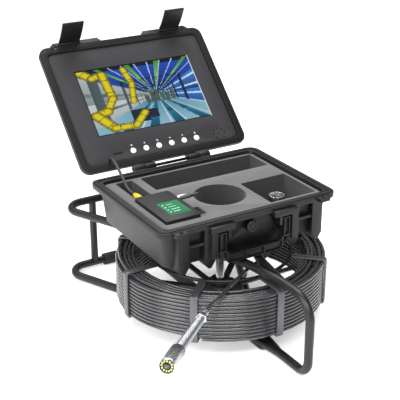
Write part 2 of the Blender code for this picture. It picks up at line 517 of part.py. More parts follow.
def build_case():
    half_x, half_y = CASE_WIDTH / 2, CASE_DEPTH / 2
    body = block("case_base", (-half_x + RIM_OVERHANG, CASE_FRONT + RIM_OVERHANG, CASE_BOTTOM),
                 (half_x - RIM_OVERHANG, CASE_BACK - RIM_OVERHANG, RIM_Z - 0.001), CASE_BLACK,
                 radius=CASE_CORNER_RADIUS - 0.003, draft=CASE_DRAFT)
    rim = block("case_rim", (-half_x, CASE_FRONT, RIM_Z - RIM_THICKNESS), (half_x, CASE_BACK, RIM_Z),
                radius=CASE_CORNER_RADIUS, segments=4, is_cutter=True)
    parts = [rim]
    for side in (-1, 1):
        for x in RIB_X:
            inner_rib = x == RIB_X[0]
            parts.append(vee_rib("case_front_rib_%+d_%d" % (side, x * 1000), side * x, CASE_FRONT + 0.0010,
                                 CASE_FRONT + 0.0300, 0.0085))
            parts.append(vee_rib("case_rear_rib_%+d_%d" % (side, x * 1000), side * x, CASE_BACK - 0.0300,
                                 CASE_BACK - 0.0010, 0.0085))
            if inner_rib:
                parts.append(block("case_floor_rib_%+d" % side, (side * x - 0.0015, CASE_FRONT + 0.0240,
                                   CASE_BOTTOM - RIB_DEPTH + 0.0002), (side * x + 0.0015, CASE_BACK - 0.0240,
                                   CASE_BOTTOM + 0.0010), is_cutter=True))
        out = HANDLE_BLOCK_OUT
        parts.append(block("case_handle_cap_%+d" % side, (min(side * 0.031, side * out), CASE_FRONT - 0.0070,
                           RIM_Z - RIM_THICKNESS - 0.0055), (max(side * 0.031, side * out), CASE_FRONT + 0.0200,
                           RIM_Z - RIM_THICKNESS + 0.0025), radius=0.002, segments=1, is_cutter=True))
        parts.append(block("case_handle_cheek_%+d" % side, (min(side * 0.0590, side * (out - 0.0005)),
                           CASE_FRONT - 0.0067, CASE_BOTTOM + 0.0080), (max(side * 0.0590, side * (out - 0.0005)),
                           CASE_FRONT + 0.0170,
                           RIM_Z - RIM_THICKNESS - 0.0030), is_cutter=True))
        parts.append(block("case_handle_lug_%+d" % side, (min(side * 0.0390, side * 0.0430), CASE_FRONT - 0.0060,
                           RIM_Z - RIM_THICKNESS - 0.0180), (max(side * 0.0390, side * 0.0430), CASE_FRONT + 0.0180,
                           RIM_Z - RIM_THICKNESS - 0.0020), is_cutter=True))
        ear = block("case_ear_%+d" % side, (min(side * 0.1050, side * 0.1230), CASE_FRONT - 0.0085,
                    RIM_Z - RIM_THICKNESS + 0.001), (max(side * 0.1050, side * 0.1230), CASE_FRONT + 0.0200,
                    RIM_Z - 0.0005), radius=0.003, segments=2, is_cutter=True)
        parts.append(ear)
        parts.append(block("case_catch_%+d" % side, (side * LATCH_X - LATCH_WIDTH / 2 + 0.004, CASE_FRONT + 0.0030,
                           RIM_Z - 0.0300), (side * LATCH_X + LATCH_WIDTH / 2 - 0.004, CASE_FRONT + 0.0200,
                           RIM_Z - 0.0260), is_cutter=True))
        knuckle_low, knuckle_high = min(side * 0.0472, side * 0.0650), max(side * 0.0472, side * 0.0650)
        parts.append(block("case_knuckle_arm_%+d" % side, (knuckle_low + 0.0003, CASE_BACK - 0.006,
                           HINGE.z - KNUCKLE_RADIUS + 0.0007), (knuckle_high - 0.0003, HINGE.y, HINGE.z + 0.0004),
                           is_cutter=True))
        parts.append(rod("case_knuckle_%+d" % side, (knuckle_low, HINGE.y, HINGE.z), (knuckle_high, HINGE.y, HINGE.z),
                         KNUCKLE_RADIUS, sides=20, is_cutter=True))
    join(body, parts)
    seal_mid = RIM_OVERHANG / 2 + 0.0005
    groove = SEAL_WIDTH / 2 + GAP
    holes = [case_cavity()]
    outer = block("groove_outer", (-half_x + seal_mid - groove, CASE_FRONT + seal_mid - groove, RIM_Z - 0.0012),
                  (half_x - seal_mid + groove, CASE_BACK - seal_mid + groove, RIM_Z + 0.002),
                  radius=CASE_CORNER_RADIUS - 0.003, is_cutter=True)
    inner = block("groove_inner", (-half_x + seal_mid + groove, CASE_FRONT + seal_mid + groove, RIM_Z - 0.003),
                  (half_x - seal_mid - groove, CASE_BACK - seal_mid - groove, RIM_Z + 0.004),
                  radius=CASE_CORNER_RADIUS - 0.006, is_cutter=True)
    cut(outer, [inner])
    holes.append(outer)
    holes.append(rod("hinge_bore", (-0.08, HINGE.y, HINGE.z), (0.08, HINGE.y, HINGE.z), HINGE_PIN_RADIUS + GAP,
                     sides=16, is_cutter=True))
    for side in (-1, 1):
        holes.append(rod("ear_hole_%+d" % side, (side * 0.1125, CASE_FRONT - 0.0035, RIM_Z - 0.02),
                         (side * 0.1125, CASE_FRONT - 0.0035, RIM_Z + 0.01), 0.0022, sides=24, is_cutter=True))
        holes.append(rod("handle_bore_%+d" % side, (side * 0.0330, HANDLE_Y, HANDLE_Z),
                         (side * 0.0640, HANDLE_Y, HANDLE_Z), 0.0020 + RUNNING_GAP, sides=12, is_cutter=True))
    holes.append(rod("valve_bore", (0, CASE_FRONT - 0.02, VALVE_Z), (0, CASE_FRONT + 0.03, VALVE_Z),
                     0.0040 + RUNNING_GAP, sides=16, is_cutter=True))
    cut(body, holes)
    seal = block("rim_seal", (-half_x + seal_mid - SEAL_WIDTH / 2, CASE_FRONT + seal_mid - SEAL_WIDTH / 2,
                 RIM_Z - 0.0012 + GAP), (half_x - seal_mid + SEAL_WIDTH / 2, CASE_BACK - seal_mid + SEAL_WIDTH / 2,
                 RIM_Z + SEAL_GAP - GAP), RUBBER, radius=CASE_CORNER_RADIUS - 0.003)
    seal_hole = block("seal_hole", (-half_x + seal_mid + SEAL_WIDTH / 2, CASE_FRONT + seal_mid + SEAL_WIDTH / 2,
                      RIM_Z - 0.01), (half_x - seal_mid - SEAL_WIDTH / 2, CASE_BACK - seal_mid - SEAL_WIDTH / 2,
                      RIM_Z + 0.01), radius=CASE_CORNER_RADIUS - 0.006, is_cutter=True)
    cut(seal, [seal_hole])
    rod("hinge_pin", (-0.0640, HINGE.y, HINGE.z), (0.0640, HINGE.y, HINGE.z), HINGE_PIN_RADIUS, STEEL, sides=16)


HANDLE_Y = CASE_FRONT - 0.0020
HANDLE_Z = RIM_Z - RIM_THICKNESS - 0.0120
VALVE_Z = RIM_Z - 0.0205


def build_handle_and_valve():
    axis = empty("handle_axis", (0, HANDLE_Y, HANDLE_Z))
    drop = HANDLE_Z - (CASE_BOTTOM - 0.0040)
    arm_in, arm_out, rise = HANDLE_X - 0.0048, HANDLE_X + 0.0048, 0.0040
    thick = HANDLE_THICKNESS
    outline = [(-arm_out, rise), (-arm_out, -drop + 0.018), (-arm_out + 0.014, -drop), (arm_out - 0.014, -drop),
               (arm_out, -drop + 0.018), (arm_out, rise), (arm_in, rise), (arm_in, -drop + 0.020),
               (arm_in - 0.007, -drop + 0.0130), (-arm_in + 0.007, -drop + 0.0130), (-arm_in, -drop + 0.020),
               (-arm_in, rise)]
    place = Matrix.Rotation(math.radians(90), 4, "X")
    handle = plate("handle", outline, thick, place, CASE_BLACK, parent=axis)
    pivots = [rod("handle_pivot_%+d" % side, (side * 0.0398, 0, 0), (side * 0.0620, 0, 0), 0.0020,
                  sides=12, parent=axis, is_cutter=True) for side in (-1, 1)]
    join(handle, pivots)
    knob_axis = empty("valve_axis", (0, CASE_FRONT + RIM_OVERHANG, VALVE_Z))
    face = -0.0070
    turned("valve_knob", [(0, 0.0045), (0.0040, 0.0045), (0.0040, face + 0.0055), (0.0088, face + 0.0055),
                          (0.0088, face + 0.0010), (0.0080, face), (0, face)], CASE_BLACK, along=(0, 1, 0),
           steps=16, parent=knob_axis)


# ---------------------------------------------------------------- foam and what lies in it
BOX_LOW = Vector((-0.1130, -0.0480, POCKET_FLOOR + GAP))
BOX_HIGH = Vector((-0.0600, 0.0430, RIM_Z))
LINK_AT = Vector((BOX_HIGH.x, 0.0190, BOX_HIGH.z - 0.0026))
SKID_AT = Vector((0.0800, -0.0220, POCKET_FLOOR + GAP))
PLUG_END = Vector((-0.1030, BOX_HIGH.y + 0.0185, FOAM_TOP + 0.0008))


def build_foam():
    top, deep = FOAM_TOP, POCKET_FLOOR
    slack = 0.0006
    low = Vector((-INNER_X + slack, CASE_CENTRE_Y - INNER_Y + slack, CASE_BOTTOM + CASE_WALL + GAP))
    high = Vector((INNER_X - slack, CASE_CENTRE_Y + INNER_Y - slack, RIM_Z + 0.01))
    foam = block("foam_insert", low, high, FOAM_GREY, radius=CASE_CORNER_RADIUS - 0.006, draft=CASE_DRAFT)
    trim = block("foam_trim", (-0.2, -0.2, top), (0.2, 0.3, RIM_Z + 0.05), is_cutter=True)
    pockets = [trim]
    right_edge, back_edge = INNER_X - FOAM_EDGE, CASE_CENTRE_Y + INNER_Y - FOAM_EDGE
    spaces = {"box": (BOX_LOW.x - slack, BOX_LOW.y - slack, BOX_HIGH.x + slack, BOX_HIGH.y + slack),
              "slot": (-0.1080, BOX_HIGH.y - 0.002, -0.0820, back_edge), "back": (-0.0680, 0.0620, right_edge, back_edge),
              "skid": (0.0460, -0.0570, right_edge, 0.0210), "small": (-0.0570, -0.0420, -0.0470, -0.0170)}
    for name, (x0, y0, x1, y1) in spaces.items():
        pockets.append(block("pocket_" + name, (x0, y0, deep), (x1, y1, RIM_Z + 0.03), radius=0.002,
                             segments=2, is_cutter=True))
    link_y = LINK_AT.y
    pockets.append(block("link_channel", (BOX_HIGH.x - 0.001, link_y - 0.0042, top - 0.0022),
                         (0, link_y + 0.0042, RIM_Z + 0.03), is_cutter=True))
    pockets.append(rod("pocket_round", (0.0005, 0.0030, deep), (0.0005, 0.0030, RIM_Z + 0.03), HOLE_RADIUS,
                       sides=40, is_cutter=True))
    cut(foam, pockets)


def build_contents():
    wall, lid_height = 0.0020, 0.0050
    seam = BOX_HIGH.z - lid_height
    box = block("control_box", BOX_LOW, (BOX_HIGH.x, BOX_HIGH.y, seam), CASE_BLACK, radius=0.003, segments=2)
    hollow = block("control_box_hollow", BOX_LOW + Vector((wall, wall, wall)),
                   (BOX_HIGH.x - wall, BOX_HIGH.y - wall, seam + 0.01), is_cutter=True)
    plug_bore = rod("box_socket", (PLUG_END.x, BOX_HIGH.y - 0.006, PLUG_END.z), (PLUG_END.x, BOX_HIGH.y + 0.01,
                    PLUG_END.z), 0.0016 + GAP, sides=12, is_cutter=True)
    cut(box, [hollow, plug_bore])
    cover = block("control_box_cover", (BOX_LOW.x, BOX_LOW.y, seam + GAP), BOX_HIGH, CASE_BLACK, radius=0.003,
                  segments=2)
    link_bore = rod("cover_socket", (LINK_AT.x - 0.006, LINK_AT.y, LINK_AT.z), (LINK_AT.x + 0.01, LINK_AT.y,
                    LINK_AT.z), 0.0014 + GAP, sides=12, is_cutter=True)
    cut(cover, [link_bore, plug_bore])
    block("battery_pack", BOX_LOW + Vector((0.004, 0.004, wall + GAP)), (BOX_HIGH.x - 0.004, BOX_HIGH.y - 0.012,
          seam - 0.004), PANEL_GREY, radius=0.002, segments=1)
    turned("av_plug", [(0, 0.0045), (0.0016, 0.0045), (0.0016, 0), (0.0045, 0), (0.0045, -0.0100),
                       (0.0030, -0.0180), (0, -0.0180)], YELLOW,
           origin=(PLUG_END.x, BOX_HIGH.y + GAP, PLUG_END.z), along=(0, -1, 0), steps=16)
    turned("data_connector", [(0, 0.0340), (0.0012, 0.0340), (0.0012, 0.0200), (0.0030, 0.0200), (0.0034, 0.0190),
                              (0.0034, 0.0050), (0.0026, 0.0003), (0.0014, 0.0003), (0.0014, -0.0040), (0, -0.0040)],
           STEEL, origin=(LINK_AT.x + GAP, LINK_AT.y, LINK_AT.z), along=(1, 0, 0), steps=16)


def build_skid():
    """The centring skid that slips over the camera head, with its three wheels, standing in its pocket."""
    axis = empty("skid_axis", SKID_AT)
    collar, height, wheel, reach = HEAD_RADIUS + 0.0018, 0.0270, 0.0070, 0.0210
    skid = turned("skid_frame", [(collar, height), (collar, 0), (collar - 0.0014, 0), (collar - 0.0014, height)],
                  STRAP_GREY, steps=24, parent=axis)
    arms = []
    for i in range(3):
        spin = Matrix.Rotation(math.radians(30 + 120 * i), 4, "Z")
        for side in (-1, 1):
            low, high = Vector((collar - 0.001, side * 0.0037 - 0.0007, 0.0040)), Vector((reach + 0.003,
                                                                                        side * 0.0037 + 0.0007, 0.010))
            cheek = block("skid_cheek_%d%+d" % (i, side), low, high, parent=axis, is_cutter=True)
            cheek.matrix_local = spin
            arms.append(cheek)
        pin = rod("skid_pin_%d" % i, (reach, -0.0044, 0.0070), (reach, 0.0044, 0.0070), 0.0012, sides=10,
                  parent=axis, is_cutter=True)
        pin.matrix_local = spin
        arms.append(pin)
        hub = spin @ Vector((reach, 0, 0.0070))
        half = 0.0024
        turned("skid_wheel_%d" % (i + 1), [(wheel - 0.0008, half), (wheel, half - 0.0008), (wheel, -half + 0.0008),
                                           (wheel - 0.0008, -half), (0.0012 + RUNNING_GAP, -half),
                                           (0.0012 + RUNNING_GAP, half)], RUBBER, origin=hub,
               along=spin @ Vector((0, 1, 0)), steps=18, parent=axis)
    join(skid, arms)


# ---------------------------------------------------------------- lid (in its own frame: +Y up the lid, +Z out of it)
LID_RIM_WIDTH = 0.0050         # from the rim's edge to the tray's outer wall
LID_CAVITY_INSET = LID_RIM_WIDTH + 0.0045
LID_CAVITY_ABOVE = 0.0100


def lid_cavity_inset(z):
    """How far the inside of the lid's wall is from the rim's edge at height z in the lid's frame."""
    top, bottom = -LID_RIM + LID_CAVITY_ABOVE, -LID_RIM - LID_DEPTH + CASE_WALL
    return LID_CAVITY_INSET + CASE_DRAFT * (top - z) / (top - bottom)


def build_lid():
    axis = empty("lid_axis", HINGE, (LID_OPEN_ANGLE, 0, 0))
    half_x = CASE_WIDTH / 2
    rim, back = -LID_RIM, -LID_RIM - LID_DEPTH
    shell = block("lid_shell", (-half_x, LID_NEAR, rim - RIM_THICKNESS), (half_x, LID_FAR, rim), CASE_BLACK,
                  radius=CASE_CORNER_RADIUS, segments=4, parent=axis)
    inset = LID_RIM_WIDTH
    tray = block("lid_tray", (-half_x + inset, LID_NEAR + inset, back), (half_x - inset, LID_FAR - inset, rim - 0.001),
                 radius=CASE_CORNER_RADIUS - 0.003, draft=CASE_DRAFT, parent=axis, is_cutter=True)
    tab_low = rim - 0.0050
    parts = [tray]
    for side in (-1, 1):
        tab = [(0.0290, LID_FAR - 0.006), (0.0400, LID_FAR + 0.0060), (0.1140, LID_FAR + 0.0060),
               (0.1280, LID_FAR - 0.006)]
        outline = [(side * x, y) for x, y in tab]
        parts.append(plate("lid_tab_%+d" % side, outline, 0.0046, Matrix.Translation((0, 0, tab_low + 0.0026)),
                           parent=axis, is_cutter=True))
        low, high = min(side * 0.0290, side * 0.0460), max(side * 0.0290, side * 0.0460)
        parts.append(block("lid_knuckle_arm_%+d" % side, (low, 0, -KNUCKLE_RADIUS - 0.003),
                           (high, LID_NEAR + 0.008, -LID_RIM - 0.0002), parent=axis, is_cutter=True))
        parts.append(rod("lid_knuckle_%+d" % side, (low, 0, 0), (high, 0, 0), KNUCKLE_RADIUS, sides=20,
                         parent=axis, is_cutter=True))
    join(shell, parts)
    mouth = LID_CAVITY_INSET
    holes = [block("lid_cavity", (-half_x + mouth, LID_NEAR + mouth, back + CASE_WALL),
                   (half_x - mouth, LID_FAR - mouth, rim + LID_CAVITY_ABOVE), radius=CASE_CORNER_RADIUS - 0.006,
                   draft=CASE_DRAFT, parent=axis, is_cutter=True),
             rod("lid_hinge_bore", (-0.06, 0, 0), (0.06, 0, 0), HINGE_PIN_RADIUS + RUNNING_GAP, sides=16,
                 parent=axis, is_cutter=True)]
    notch = LATCH_WIDTH / 2 + RUNNING_GAP
    for side in (-1, 1):
        holes.append(block("latch_notch_%+d" % side, (side * LATCH_X - notch, LID_FAR, back),
                           (side * LATCH_X + notch, LID_FAR + 0.02, rim + 0.01), parent=axis, is_cutter=True))
        holes.append(rod("lid_ear_hole_%+d" % side, (side * 0.1110, LID_FAR - 0.0015, rim - 0.02),
                         (side * 0.1110, LID_FAR - 0.0015, rim + 0.01), 0.0020, sides=12, parent=axis,
                         is_cutter=True))
        holes.append(rod("latch_pin_bore_%+d" % side, (side * LATCH_X - notch - 0.0040, LATCH_AXIS.y, LATCH_AXIS.z),
                         (side * LATCH_X + notch + 0.0040, LATCH_AXIS.y, LATCH_AXIS.z), 0.0013 + RUNNING_GAP,
                         sides=12, parent=axis, is_cutter=True))
    cut(shell, holes)
    return axis


LATCH_AXIS = Vector((0, LID_FAR + 0.0035, -LID_RIM - 0.0024))


def build_latches(lid_axis):
    """Curved draw latches: a barrel on a pin in the lid's tab, and a plate that flares towards its tip."""
    rim = -LID_RIM - LATCH_AXIS.z
    reach = LATCH_LENGTH + rim
    outer = [(0.0010, -0.0020), (0.0030, 0.0030), (0.0045, reach * 0.35), (0.0085, reach * 0.72), (0.0125, reach)]
    inner = [(y - 0.0026, z - 0.0002) for y, z in outer[::-1]]
    outline = outer + inner
    width = LATCH_WIDTH - 2 * RUNNING_GAP
    to_plane = Matrix(((0, 0, 1, 0), (1, 0, 0, 0), (0, 1, 0, 0), (0, 0, 0, 1)))
    for side, word in ((-1, "left"), (1, "right")):
        axis = empty("latch_axis_" + word, LATCH_AXIS + Vector((side * LATCH_X, 0, 0)))
        axis.parent = lid_axis
        latch = plate("latch_" + word, outline, width, to_plane, CASE_BLACK, parent=axis)
        barrel = rod("latch_barrel_" + word, (-width / 2, 0, 0), (width / 2, 0, 0), 0.0024, sides=14,
                     parent=axis, is_cutter=True)
        pin = rod("latch_pin_" + word, (-width / 2 - 0.0036, 0, 0), (width / 2 + 0.0036, 0, 0), 0.0013, sides=12,
                  parent=axis, is_cutter=True)
        join(latch, [barrel, pin])


# ---------------------------------------------------------------- monitor in the lid
def build_monitor(lid_axis):
    half_x = CASE_WIDTH / 2
    face, rear = PANEL_FACE, PANEL_FACE - PANEL_THICKNESS
    edge = lid_cavity_inset(rear) + GAP
    panel = block("monitor_panel", (-half_x + edge, LID_NEAR + edge, rear), (half_x - edge, LID_FAR - edge, face),
                  PANEL_GREY, radius=CASE_CORNER_RADIUS - 0.006, parent=lid_axis)
    openings = [block("screen_opening", (SCREEN_X - SCREEN_WIDTH / 2, SCREEN_UP - SCREEN_HEIGHT / 2, rear - 0.01),
                      (SCREEN_X + SCREEN_WIDTH / 2, SCREEN_UP + SCREEN_HEIGHT / 2, face + 0.01), parent=lid_axis,
                      is_cutter=True)]
    buttons = [BUTTON_FIRST_X + BUTTON_PITCH * i for i in range(BUTTON_COUNT)]
    for i, x in enumerate(buttons):
        openings.append(rod("button_hole_%d" % i, (x, BUTTON_UP, rear - 0.01), (x, BUTTON_UP, face + 0.01),
                            BUTTON_RADIUS + RUNNING_GAP, sides=16, parent=lid_axis, is_cutter=True))
    speaker_x, speaker_y = 0.0992, 0.0305
    for i in range(9):
        angle, out = math.radians(45 * i), (0.0 if i == 8 else 0.0095)
        x, y = speaker_x + out * math.cos(angle), speaker_y + out * math.sin(angle)
        openings.append(rod("speaker_hole_%d" % i, (x, y, rear - 0.01), (x, y, face + 0.01), 0.0013, sides=8,
                            parent=lid_axis, is_cutter=True))
    card_x, card_y = -0.0760, 0.0319
    openings.append(block("card_slot", (card_x - 0.0075, card_y - 0.0014, rear - 0.01),
                          (card_x + 0.0075, card_y + 0.0014, face + 0.01), parent=lid_axis, is_cutter=True))
    openings.append(rod("lead_hole", (LEAD_X, LEAD_UP, rear - 0.01), (LEAD_X, LEAD_UP, face + 0.01),
                        LEAD_RADIUS + GAP, sides=12, parent=lid_axis, is_cutter=True))
    cut(panel, openings)
    border = 0.0040
    screen = block("lcd_screen", (SCREEN_X - SCREEN_WIDTH / 2 - border, SCREEN_UP - SCREEN_HEIGHT / 2 - border,
                   rear - 0.0060), (SCREEN_X + SCREEN_WIDTH / 2 + border, SCREEN_UP + SCREEN_HEIGHT / 2 + border,
                   rear - GAP), GLASS, parent=lid_axis)
    raised = block("screen_face", (SCREEN_X - SCREEN_WIDTH / 2 + GAP, SCREEN_UP - SCREEN_HEIGHT / 2 + GAP,
                   rear - 0.001), (SCREEN_X + SCREEN_WIDTH / 2 - GAP, SCREEN_UP + SCREEN_HEIGHT / 2 - GAP,
                   face - 0.0008), parent=lid_axis, is_cutter=True)
    join(screen, [raised])
    board_top = rear - 0.0060 - 0.0050
    block("main_board", (-0.1050, 0.0560, board_top - 0.0016), (0.1050, 0.1700, board_top), GREEN, parent=lid_axis)
    turned("speaker", [(0, rear - GAP), (0.0092, rear - GAP), (0.0092, rear - 0.0040), (0.0055, rear - 0.0090),
                       (0, rear - 0.0090)], PANEL_GREY, origin=(speaker_x, speaker_y, 0), steps=20, parent=lid_axis)
    block("memory_card", (card_x - 0.0055, card_y - 0.0005, rear - 0.0100), (card_x + 0.0055, card_y + 0.0005,
          face + 0.0006), CASE_BLACK, parent=lid_axis)
    flange_top = rear - BUTTON_TRAVEL * 0 - GAP
    for i, x in enumerate(buttons):
        axis = empty("button_axis_%d" % (i + 1), (x, BUTTON_UP, 0))
        axis.parent = lid_axis
        top = face + BUTTON_STANDS
        turned("button_%d" % (i + 1), [(0, top), (BUTTON_RADIUS - 0.0008, top), (BUTTON_RADIUS, top - 0.0006),
                                       (BUTTON_RADIUS, flange_top), (BUTTON_RADIUS + 0.0012, flange_top),
                                       (BUTTON_RADIUS + 0.0012, flange_top - 0.0010), (0, flange_top - 0.0010)],
               WHITE, steps=18, parent=axis)


BUTTON_TRAVEL = 0.0010
LEAD_RADIUS = 0.0021
LEAD_X = -0.0940
LEAD_UP = 0.0240


# ---------------------------------------------------------------- leads
def build_leads():
    out = Matrix.Translation(HINGE) @ Matrix.Rotation(LID_OPEN_ANGLE, 4, "X")
    exit_point = out @ Vector((LEAD_X, LEAD_UP, PANEL_FACE - 0.0015))
    normal = out.to_3x3() @ Vector((0, 0, 1))
    socket = Vector((PLUG_END.x, PLUG_END.y + GAP, PLUG_END.z))
    route = [exit_point, exit_point + normal * 0.008, (-0.0965, 0.1400, RIM_Z + 0.0200), (-0.0990, 0.1220, RIM_Z + 0.0160),
             (-0.1010, 0.1030, RIM_Z + 0.0080), (-0.1030, 0.0840, RIM_Z - 0.0015), socket + Vector((0, 0.010, 0.0002)),
             socket]
    tube("av_lead", smooth(route, 0.006), LEAD_RADIUS, LEAD_GREY, resolution=2)
    under = CASE_BOTTOM - GAP
    entry = Vector((SLIP_RING_RADIUS + GAP, -0.0040, SLIP_RING_LOW + SLIP_RING_HEIGHT / 2))
    loop = [(0.0290, -0.0080, under), (0.0293, -0.0095, under - 0.014), (0.0300, -0.0155, under - 0.034),
            (0.0300, -0.0225, under - 0.054), (0.0282, -0.0262, under - 0.067), (0.0245, -0.0240, entry.z + 0.0070),
            (0.0190, -0.0130, entry.z + 0.0020), entry]
    tube("signal_lead", smooth(loop, 0.006), 0.0014, CABLE_BLACK, resolution=2)


build_stand()
build_axle()
build_reel()
build_head()
build_case()
build_handle_and_valve()
build_foam()
build_contents()
build_skid()
lid = build_lid()
build_latches(lid)
build_monitor(lid)
build_leads()

for made in model.objects:
    if made.type == "MESH" and made.name.split("_")[0] in ("axle", "reel", "cable", "head", "valve", "skid", "button"):
        made.data.shade_smooth()
        made.data.set_sharp_from_angle(angle=math.radians(35))
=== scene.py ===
"""Pipe inspection camera: the looks of its stand, cable reel, camera head and monitor case.

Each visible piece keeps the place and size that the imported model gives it.
"""

import math

import bpy
from mathutils import Matrix, Vector


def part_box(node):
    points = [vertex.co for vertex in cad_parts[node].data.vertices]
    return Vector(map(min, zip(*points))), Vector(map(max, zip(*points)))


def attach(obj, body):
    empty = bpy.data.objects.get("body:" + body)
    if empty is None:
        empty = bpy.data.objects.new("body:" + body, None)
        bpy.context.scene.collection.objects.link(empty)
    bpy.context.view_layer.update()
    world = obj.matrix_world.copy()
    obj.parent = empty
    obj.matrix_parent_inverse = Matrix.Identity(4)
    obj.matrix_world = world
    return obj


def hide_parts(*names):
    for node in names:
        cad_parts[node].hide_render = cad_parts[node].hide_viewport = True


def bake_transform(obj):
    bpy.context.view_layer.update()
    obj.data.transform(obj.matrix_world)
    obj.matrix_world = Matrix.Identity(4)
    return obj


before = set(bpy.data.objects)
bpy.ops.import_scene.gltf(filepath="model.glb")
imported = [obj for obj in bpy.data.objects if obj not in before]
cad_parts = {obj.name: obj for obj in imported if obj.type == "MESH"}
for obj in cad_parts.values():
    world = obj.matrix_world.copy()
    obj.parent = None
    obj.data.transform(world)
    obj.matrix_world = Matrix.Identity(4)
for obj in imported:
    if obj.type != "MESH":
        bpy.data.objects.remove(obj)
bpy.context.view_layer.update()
bpy.ops.object.select_all(action="DESELECT")

# ------------------------------------------------------------------------------------------ studio
# A pale seamless floor, a large soft box on the left, a long one overhead and a weak one in front,
# and a long lens looking down on the open case.


def linear(colour):
    """An sRGB hex colour as linear red, green, blue and alpha."""
    parts = [int(colour[i:i + 2], 16) / 255 for i in (1, 3, 5)]
    return (*[c / 12.92 if c <= 0.04045 else ((c + 0.055) / 1.055) ** 2.4 for c in parts], 1.0)


def add_node(material, kind, inputs=(), **settings):
    """A node in a material, with its settings, and its inputs set to values or linked to other nodes' outputs."""
    tree = material.node_tree
    made = tree.nodes.new(kind)
    for key, value in settings.items():
        setattr(made, key, value)
    for socket, value in dict(inputs).items():
        if isinstance(value, bpy.types.NodeSocket):
            tree.links.new(value, made.inputs[socket])
        else:
            made.inputs[socket].default_value = value
    return made


def surface(name, **sockets):
    """A new material and its Principled shader, with the sockets that are the same all over it set."""
    made = bpy.data.materials.new(name)
    made.use_nodes = True
    shader = made.node_tree.nodes["Principled BSDF"]
    for key, value in sockets.items():
        shader.inputs[key.replace("_", " ")].default_value = value
    return made, shader


def plug_in(material, shader, **outputs):
    """Link outputs to the shader's sockets."""
    for key, output in outputs.items():
        material.node_tree.links.new(output, shader.inputs[key.replace("_", " ")])


# Matte paper under strong light: an even near-white that glows a little, so the edge of the floor melts away.
white_paper, shader = surface("seamless white paper", Base_Color=linear("#F6F6F6"), Roughness=0.95,
                              Emission_Color=linear("#FFFFFF"), Emission_Strength=0.45)
bpy.ops.mesh.primitive_plane_add(size=14, location=(0, 0, 0))
floor = bpy.context.object
floor.name = "studio_floor"
floor.data.materials.append(white_paper)

look_down, look_round = math.radians(23.53), math.radians(-30.886)
bpy.ops.object.camera_add(location=(-0.6745, -1.0715, 0.7278), rotation=(math.pi / 2 - look_down, 0, look_round))
camera = bpy.context.object
camera.data.lens = 88.86
camera.data.sensor_width = 36
bpy.context.scene.camera = camera

for name, place, aim, width, depth, power in (
        ("left_soft_box", (-1.7, -0.20, 0.95), (0, 0, 0.15), 1.0, 1.0, 24),
        ("top_soft_box", (0.1, 0.80, 1.8), (0, 0.1, 0.15), 1.6, 1.0, 34),
        ("front_strip", (-0.70, -1.20, 1.45), (0, 0, 0.06), 1.3, 0.34, 30)):
    bpy.ops.object.light_add(type="AREA", location=place)
    lamp = bpy.context.object
    lamp.name = name
    lamp.data.shape = "RECTANGLE"
    lamp.data.size = width
    lamp.data.size_y = depth
    lamp.data.energy = power
    lamp.rotation_euler = (Vector(aim) - Vector(place)).to_track_quat("-Z", "Y").to_euler()
world = bpy.data.worlds.new("studio_air")
world.use_nodes = True
world.node_tree.nodes["Background"].inputs["Color"].default_value = (1, 1, 1, 1)
world.node_tree.nodes["Background"].inputs["Strength"].default_value = 0.30
bpy.context.scene.world = world
bpy.context.scene.view_settings.view_transform = "Standard"

# ------------------------------------------------------------------------------------------ stand
# Two loops of 12 mm steel tube, one over the other, drawn into one front leg.  Bent cold, welded, then powder
# coated matte black, which leaves the faint ripple of orange peel.

# Powder coat: a soft satin black, broken by orange peel 1.6 mm across and by a gloss that drifts over 26 mm.
powder_black, shader = surface("matte black powder coat on steel", IOR=1.5)
spot = add_node(powder_black, "ShaderNodeTexCoord").outputs["Object"]
ripple = add_node(powder_black, "ShaderNodeTexNoise", {"Vector": spot, "Scale": 620, "Detail": 2}).outputs["Fac"]
patch = add_node(powder_black, "ShaderNodeTexNoise", {"Vector": spot, "Scale": 38, "Detail": 3}).outputs["Fac"]
tone = add_node(powder_black, "ShaderNodeMix", {"Factor": patch, "A": linear("#0D0D0E"), "B": linear("#161617")},
                data_type="RGBA")
gloss = add_node(powder_black, "ShaderNodeMapRange", {"Value": patch, "To Min": 0.36, "To Max": 0.48})
bump = add_node(powder_black, "ShaderNodeBump", {"Height": ripple, "Strength": 0.25, "Distance": 0.0002})
plug_in(powder_black, shader, Base_Color=tone.outputs["Result"], Roughness=gloss.outputs["Result"],
        Normal=bump.outputs["Normal"])


def rounded(corners, radii, steps=14):
    """An open path through corners, each turned with its own radius."""
    corners = [Vector(c) for c in corners]
    path = [corners[0]]
    for before, corner, after, radius in zip(corners, corners[1:], corners[2:], radii):
        one, two = (before - corner).normalized(), (after - corner).normalized()
        half = one.angle(two) / 2
        centre = corner + (one + two).normalized() * radius / math.sin(half)
        first = corner + one * radius / math.tan(half) - centre
        last = corner + two * radius / math.tan(half) - centre
        sweep = math.pi - 2 * half
        for i in range(steps + 1):
            share = i / steps
            path.append(centre + (first * math.sin(sweep * (1 - share)) + last * math.sin(sweep * share))
                        / math.sin(sweep))
    return path + [corners[-1]]


